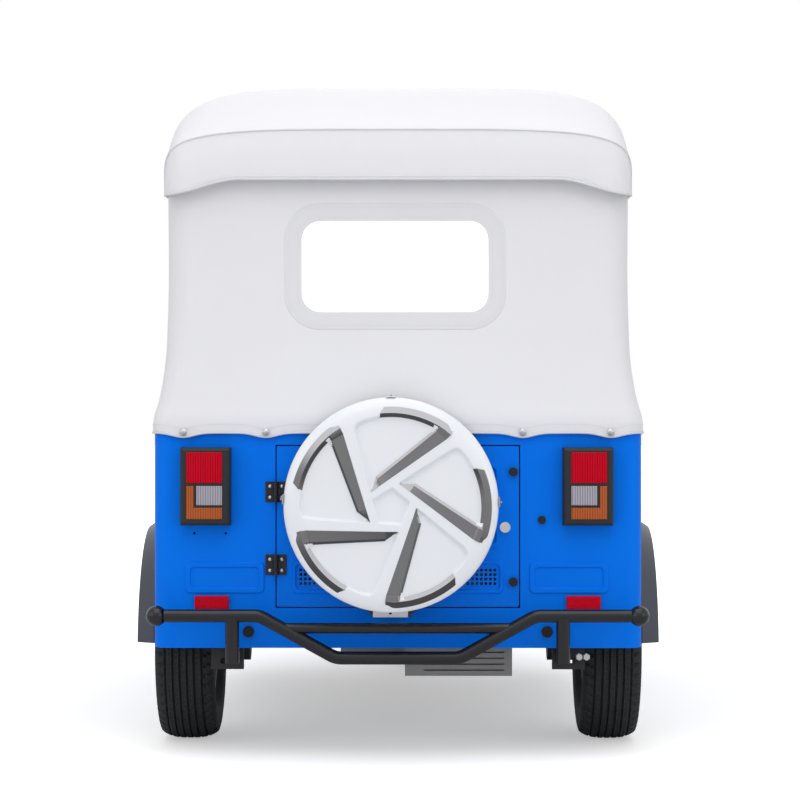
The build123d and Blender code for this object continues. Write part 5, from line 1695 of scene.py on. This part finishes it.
@dataclass
class Cab:
    """The small parts that a driver sees: dial, knobs, levers, mirror glass and wiper.

    Args:
        dial: Radius of the speed dial.
    """

    dial: float = 0.036

    def build(self) -> None:
        """Makes the parts, placed from the boxes of what they sit on."""
        dash_low, dash_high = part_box("dashboard")
        face = np.array([0.0, dash_low.y, (dash_low.z + dash_high.z) / 2 + 0.014])
        r = self.dial
        bezel = np.array([
            (0.0, r + 0.004), (-0.010, r + 0.004), (-0.012, r + 0.001), (-0.010, r - 0.002),
            (-0.003, r - 0.003),
        ])
        make_piece(
            "dial_bezel", turned(bezel, face, Axis.Y, 48), BLACK_PLASTIC,
            Place("root", "black_plastic"), outward=False
        )
        plate = turned(np.array([(0.0, r), (-0.0035, r), (-0.0035, 0.0)]), face, Axis.Y, 48)
        make_piece("dial_face", plate, DIAL, Place("root", "black_plastic"), outward=False)
        marks = np.radians(np.arange(-220, 41, 20))
        mark = turned(
            np.array([(-0.004, 0.0), (-0.004, 0.0010), (0.004, 0.0010), (0.004, 0.0)]), np.zeros(3), Axis.X,
            6
        )
        spots = face + np.stack(
            [0.80 * r * np.cos(marks), np.full(len(marks), -0.0038), 0.80 * r * np.sin(marks)], -1
        )
        rows = np.stack([np.cos(marks), 0 * marks, np.sin(marks)], -1)
        frames = np.stack(
            [
                rows, np.cross(np.tile([0.0, 1, 0], (len(marks), 1)), rows),
                np.tile([0.0, 1, 0], (len(marks), 1))
            ],
            1
        )
        needle = tube(
            face + np.array([(0.004, -0.0055, 0.003), (-0.024, -0.0055, -0.012)]), 0.0008, (0, 1, 0), 6
        )
        make_piece(
            "dial_marks", joined(copies(mark, spots, frames), needle), BLACK_PLASTIC,
            Place("root", "black_plastic")
        )
        knob = turned(
            np.array([(0.0, 0.0), (0.0, 0.011), (-0.014, 0.009), (-0.016, 0.007), (-0.016, 0.0)]),
            np.zeros(3), Axis.Y, 24
        )
        places = face + np.array([(-0.16, 0, 0), (-0.11, 0, 0), (0.11, 0, 0), (0.16, 0, 0)])
        make_piece("dash_knobs", copies(knob, places), RUBBER, Place("root", "rubber"))
        self.mirror_glass()
        self.levers()
        self.wiper()

    def mirror_glass(self) -> None:
        """Makes the silvered plates on the backs of both mirrors."""
        box_low, box_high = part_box("mirrors")
        ring = rounded_outline(0.094, 0.144, 0.018, 64) + np.array([box_high.x - 0.055, box_high.z - 0.080])
        middle = np.repeat(ring.mean(0)[None], len(ring), 0)
        rows = [(ring, 0.0036), (ring, 0.0018), (ring * 0.98 + middle * 0.02, 0.0014), (middle, 0.0010)]
        points = np.stack(
            [np.stack([row[:, 0], np.full(len(row), box_low.y + y), row[:, 1]], -1) for row, y in rows]
        )
        make_piece(
            "mirror_glass", both_sides(patch(points, around=True)), MIRROR, Place("root", "glass"),
            outward=False
        )

    def levers(self) -> None:
        """Makes the two hand levers and their clamps on the handlebar."""
        box_low, box_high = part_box("grips")
        y, z = box_low.y + 0.036, (box_low.z + box_high.z) / 2
        x = box_high.x
        corners = np.array([
            (x - 0.150, y + 0.020, z - 0.004), (x - 0.125, y + 0.052, z - 0.010),
            (x - 0.075, y + 0.046, z - 0.018), (x - 0.020, y + 0.020, z - 0.026),
        ])
        lever = tube(smooth_path(corners, 24), 0.0045, (0, 0, 1), 10)
        make_piece("hand_levers", both_sides(lever), GALVANISED, Place("steering", "galvanised"))

    def wiper(self) -> None:
        """Makes the wiper's arm and blade against the windscreen."""
        box_low, box_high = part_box("windscreen_glass")
        rise = box_high.z - box_low.z
        run = box_high.y - box_low.y

        def on_glass(x: float, share: float, out: float) -> tuple[float, float, float]:
            """A point before the glass, from its X, its share of the height and its distance."""
            lean = math.hypot(rise, run)
            return (
                x,
                box_high.y - run * share + out * rise / lean,
                box_low.z + rise * share + out * run / lean,
            )

        arm = tube(
            np.array(
                [on_glass(0.02, 0.06, 0.012), on_glass(0.10, 0.34, 0.016), on_glass(0.14, 0.48, 0.010)]
            ),
            0.003, (1, 0, 0), 8
        )
        blade = tube(
            even(np.array([on_glass(0.09, 0.30, 0.006), on_glass(0.19, 0.66, 0.006)]), 8), 0.0042,
            (1, 0, 0), 8
        )
        hub = tube(
            np.array([on_glass(0.02, 0.06, -0.004), on_glass(0.02, 0.06, 0.018)]), 0.010, (1, 0, 0), 16
        )
        make_piece("wiper", joined(arm, blade, hub), BLACK_PLASTIC, Place("root", "black_plastic"))


@dataclass
class Studio:
    """The pale floor, the soft lamps and the camera.

    Args:
        eye_x: Camera's X.
        eye_back: Distance of the camera behind the rear face.
        eye_z: Camera's height.
        yaw: Turn of the camera to the left in degrees.
        lens: Focal length in millimetres on a 36 mm sensor.
    """

    eye_x: float = 0.040
    eye_back: float = 6.0
    eye_z: float = 0.878
    yaw: float = 0.33
    lens: float = 110.2

    def camera(self) -> None:
        """Sets the camera level behind the vehicle."""
        data = bpy.data.cameras.new("camera")
        data.lens = self.lens
        data.sensor_width = 36.0
        data.clip_end = 100.0
        eye = add_object("camera", data)
        eye.location = (self.eye_x, REAR - self.eye_back, self.eye_z)
        eye.rotation_euler = (math.pi / 2, 0, math.radians(self.yaw))
        bpy.context.scene.camera = eye

    def lamp(self, name: str, place: tuple[float, float, float], aim: tuple[float, float, float], size: float,
             power: float) -> None:
        """Adds one square soft lamp.

        Args:
            name: Its name.
            place: Where it hangs.
            aim: The point that it faces.
            size: Its side.
            power: Its power in watts.
        """
        data = bpy.data.lights.new(name, "AREA")
        data.size = size
        data.energy = power
        lamp = add_object(name, data)
        lamp.location = place
        lamp.rotation_euler = (Vector(aim) - Vector(place)).to_track_quat("-Z", "Y").to_euler()

    def world(self, level: float, seen: float) -> None:
        """An even sky: one level lights the object and another is seen directly or in gloss."""
        world = bpy.data.worlds.new("studio")
        world.use_nodes = True
        bpy.context.scene.world = world
        nodes, links = world.node_tree.nodes, world.node_tree.links
        path = nodes.new("ShaderNodeLightPath")
        either = nodes.new("ShaderNodeMath")
        either.operation = "MAXIMUM"
        links.new(path.outputs["Is Camera Ray"], either.inputs[0])
        links.new(path.outputs["Is Transmission Ray"], either.inputs[1])
        both = nodes.new("ShaderNodeMath")
        both.operation = "MAXIMUM"
        links.new(either.outputs[0], both.inputs[0])
        links.new(path.outputs["Is Glossy Ray"], both.inputs[1])
        scale = nodes.new("ShaderNodeMapRange")
        links.new(both.outputs[0], scale.inputs["Value"])
        scale.inputs["To Min"].default_value = level
        scale.inputs["To Max"].default_value = seen
        background = nodes["Background"]
        background.inputs["Color"].default_value = (1, 1, 1, 1)
        links.new(scale.outputs["Result"], background.inputs["Strength"])

    def floor(self) -> None:
        """A wide pale floor that keeps the vehicle's shadow."""
        grid = np.stack(
            np.meshgrid(np.linspace(-40, 40, 9), np.linspace(-40, 40, 9), [0.0], indexing="ij"), -1
        )[:, :, 0]
        shell = patch(grid)
        mesh = bpy.data.meshes.new("floor")
        mesh.from_pydata(shell.points.tolist(), [], shell.quads.tolist())
        floor = add_object("floor", mesh)
        graph = Graph("pale_floor")
        graph.set(
            Base_Color=graph.mixed(graph.noise(2.0), (0.84, 0.84, 0.84, 1), (0.88, 0.88, 0.88, 1)),
            Roughness=0.7
        )
        graph.set(Specular_IOR_Level=0.2)
        path = graph.node("ShaderNodeLightPath")
        seen = Signal(graph, path.outputs["Is Camera Ray"])
        graph.set(Emission_Color=(1, 1, 1, 1), Emission_Strength=0.0)
        x, y, _ = graph.axes()
        away = ((x * x + (y - 0.2) * (y - 0.2)) ** 0.5).between(1.0, 3.2)
        glow = graph.node(
            "ShaderNodeEmission", Color=graph.mixed(away, (0.42, 0.42, 0.42, 1), (1, 1, 1, 1)), Strength=1.0
        )
        both = graph.node("ShaderNodeAddShader")
        mix = graph.node("ShaderNodeMixShader", Fac=seen)
        graph.links.new(graph.shader.outputs[0], both.inputs[0])
        graph.links.new(glow.outputs[0], both.inputs[1])
        graph.links.new(graph.shader.outputs[0], mix.inputs[1])
        graph.links.new(both.outputs[0], mix.inputs[2])
        graph.links.new(mix.outputs[0], graph.output.inputs["Surface"])
        mesh.materials.append(graph.material)

    def build(self) -> None:
        """Sets up the whole studio."""
        bpy.context.scene.view_settings.view_transform = "Standard"
        self.camera()
        self.world(0.60, 1.0)
        self.lamp("overhead", (0, REAR - 1.4, 4.2), (0, REAR + 1.0, 0.6), 4.0, 68)
        self.lamp("behind_left", (-4.5, REAR - 3.5, 2.2), (0, REAR, 0.9), 3.0, 28)
        self.lamp("behind_right", (4.5, REAR - 3.5, 2.2), (0, REAR, 0.9), 3.0, 28)
        self.lamp("ahead", (0, 5.0, 3.5), (0, 0.5, 0.8), 3.0, 40)
        self.floor()


def main() -> None:
    """Builds and dresses every sub-assembly in order."""
    logging.basicConfig(level=logging.INFO)
    Studio().build()
    dress_nodes()
    Hood().build()
    SpareCover().build()
    for node, body in TYRE_BODIES.items():
        Tyre(node, body).build()
    Fasteners().build()
    for pad in seat_pads():
        pad.build()
    Cab().build()


if __name__ == "__main__":
    main()
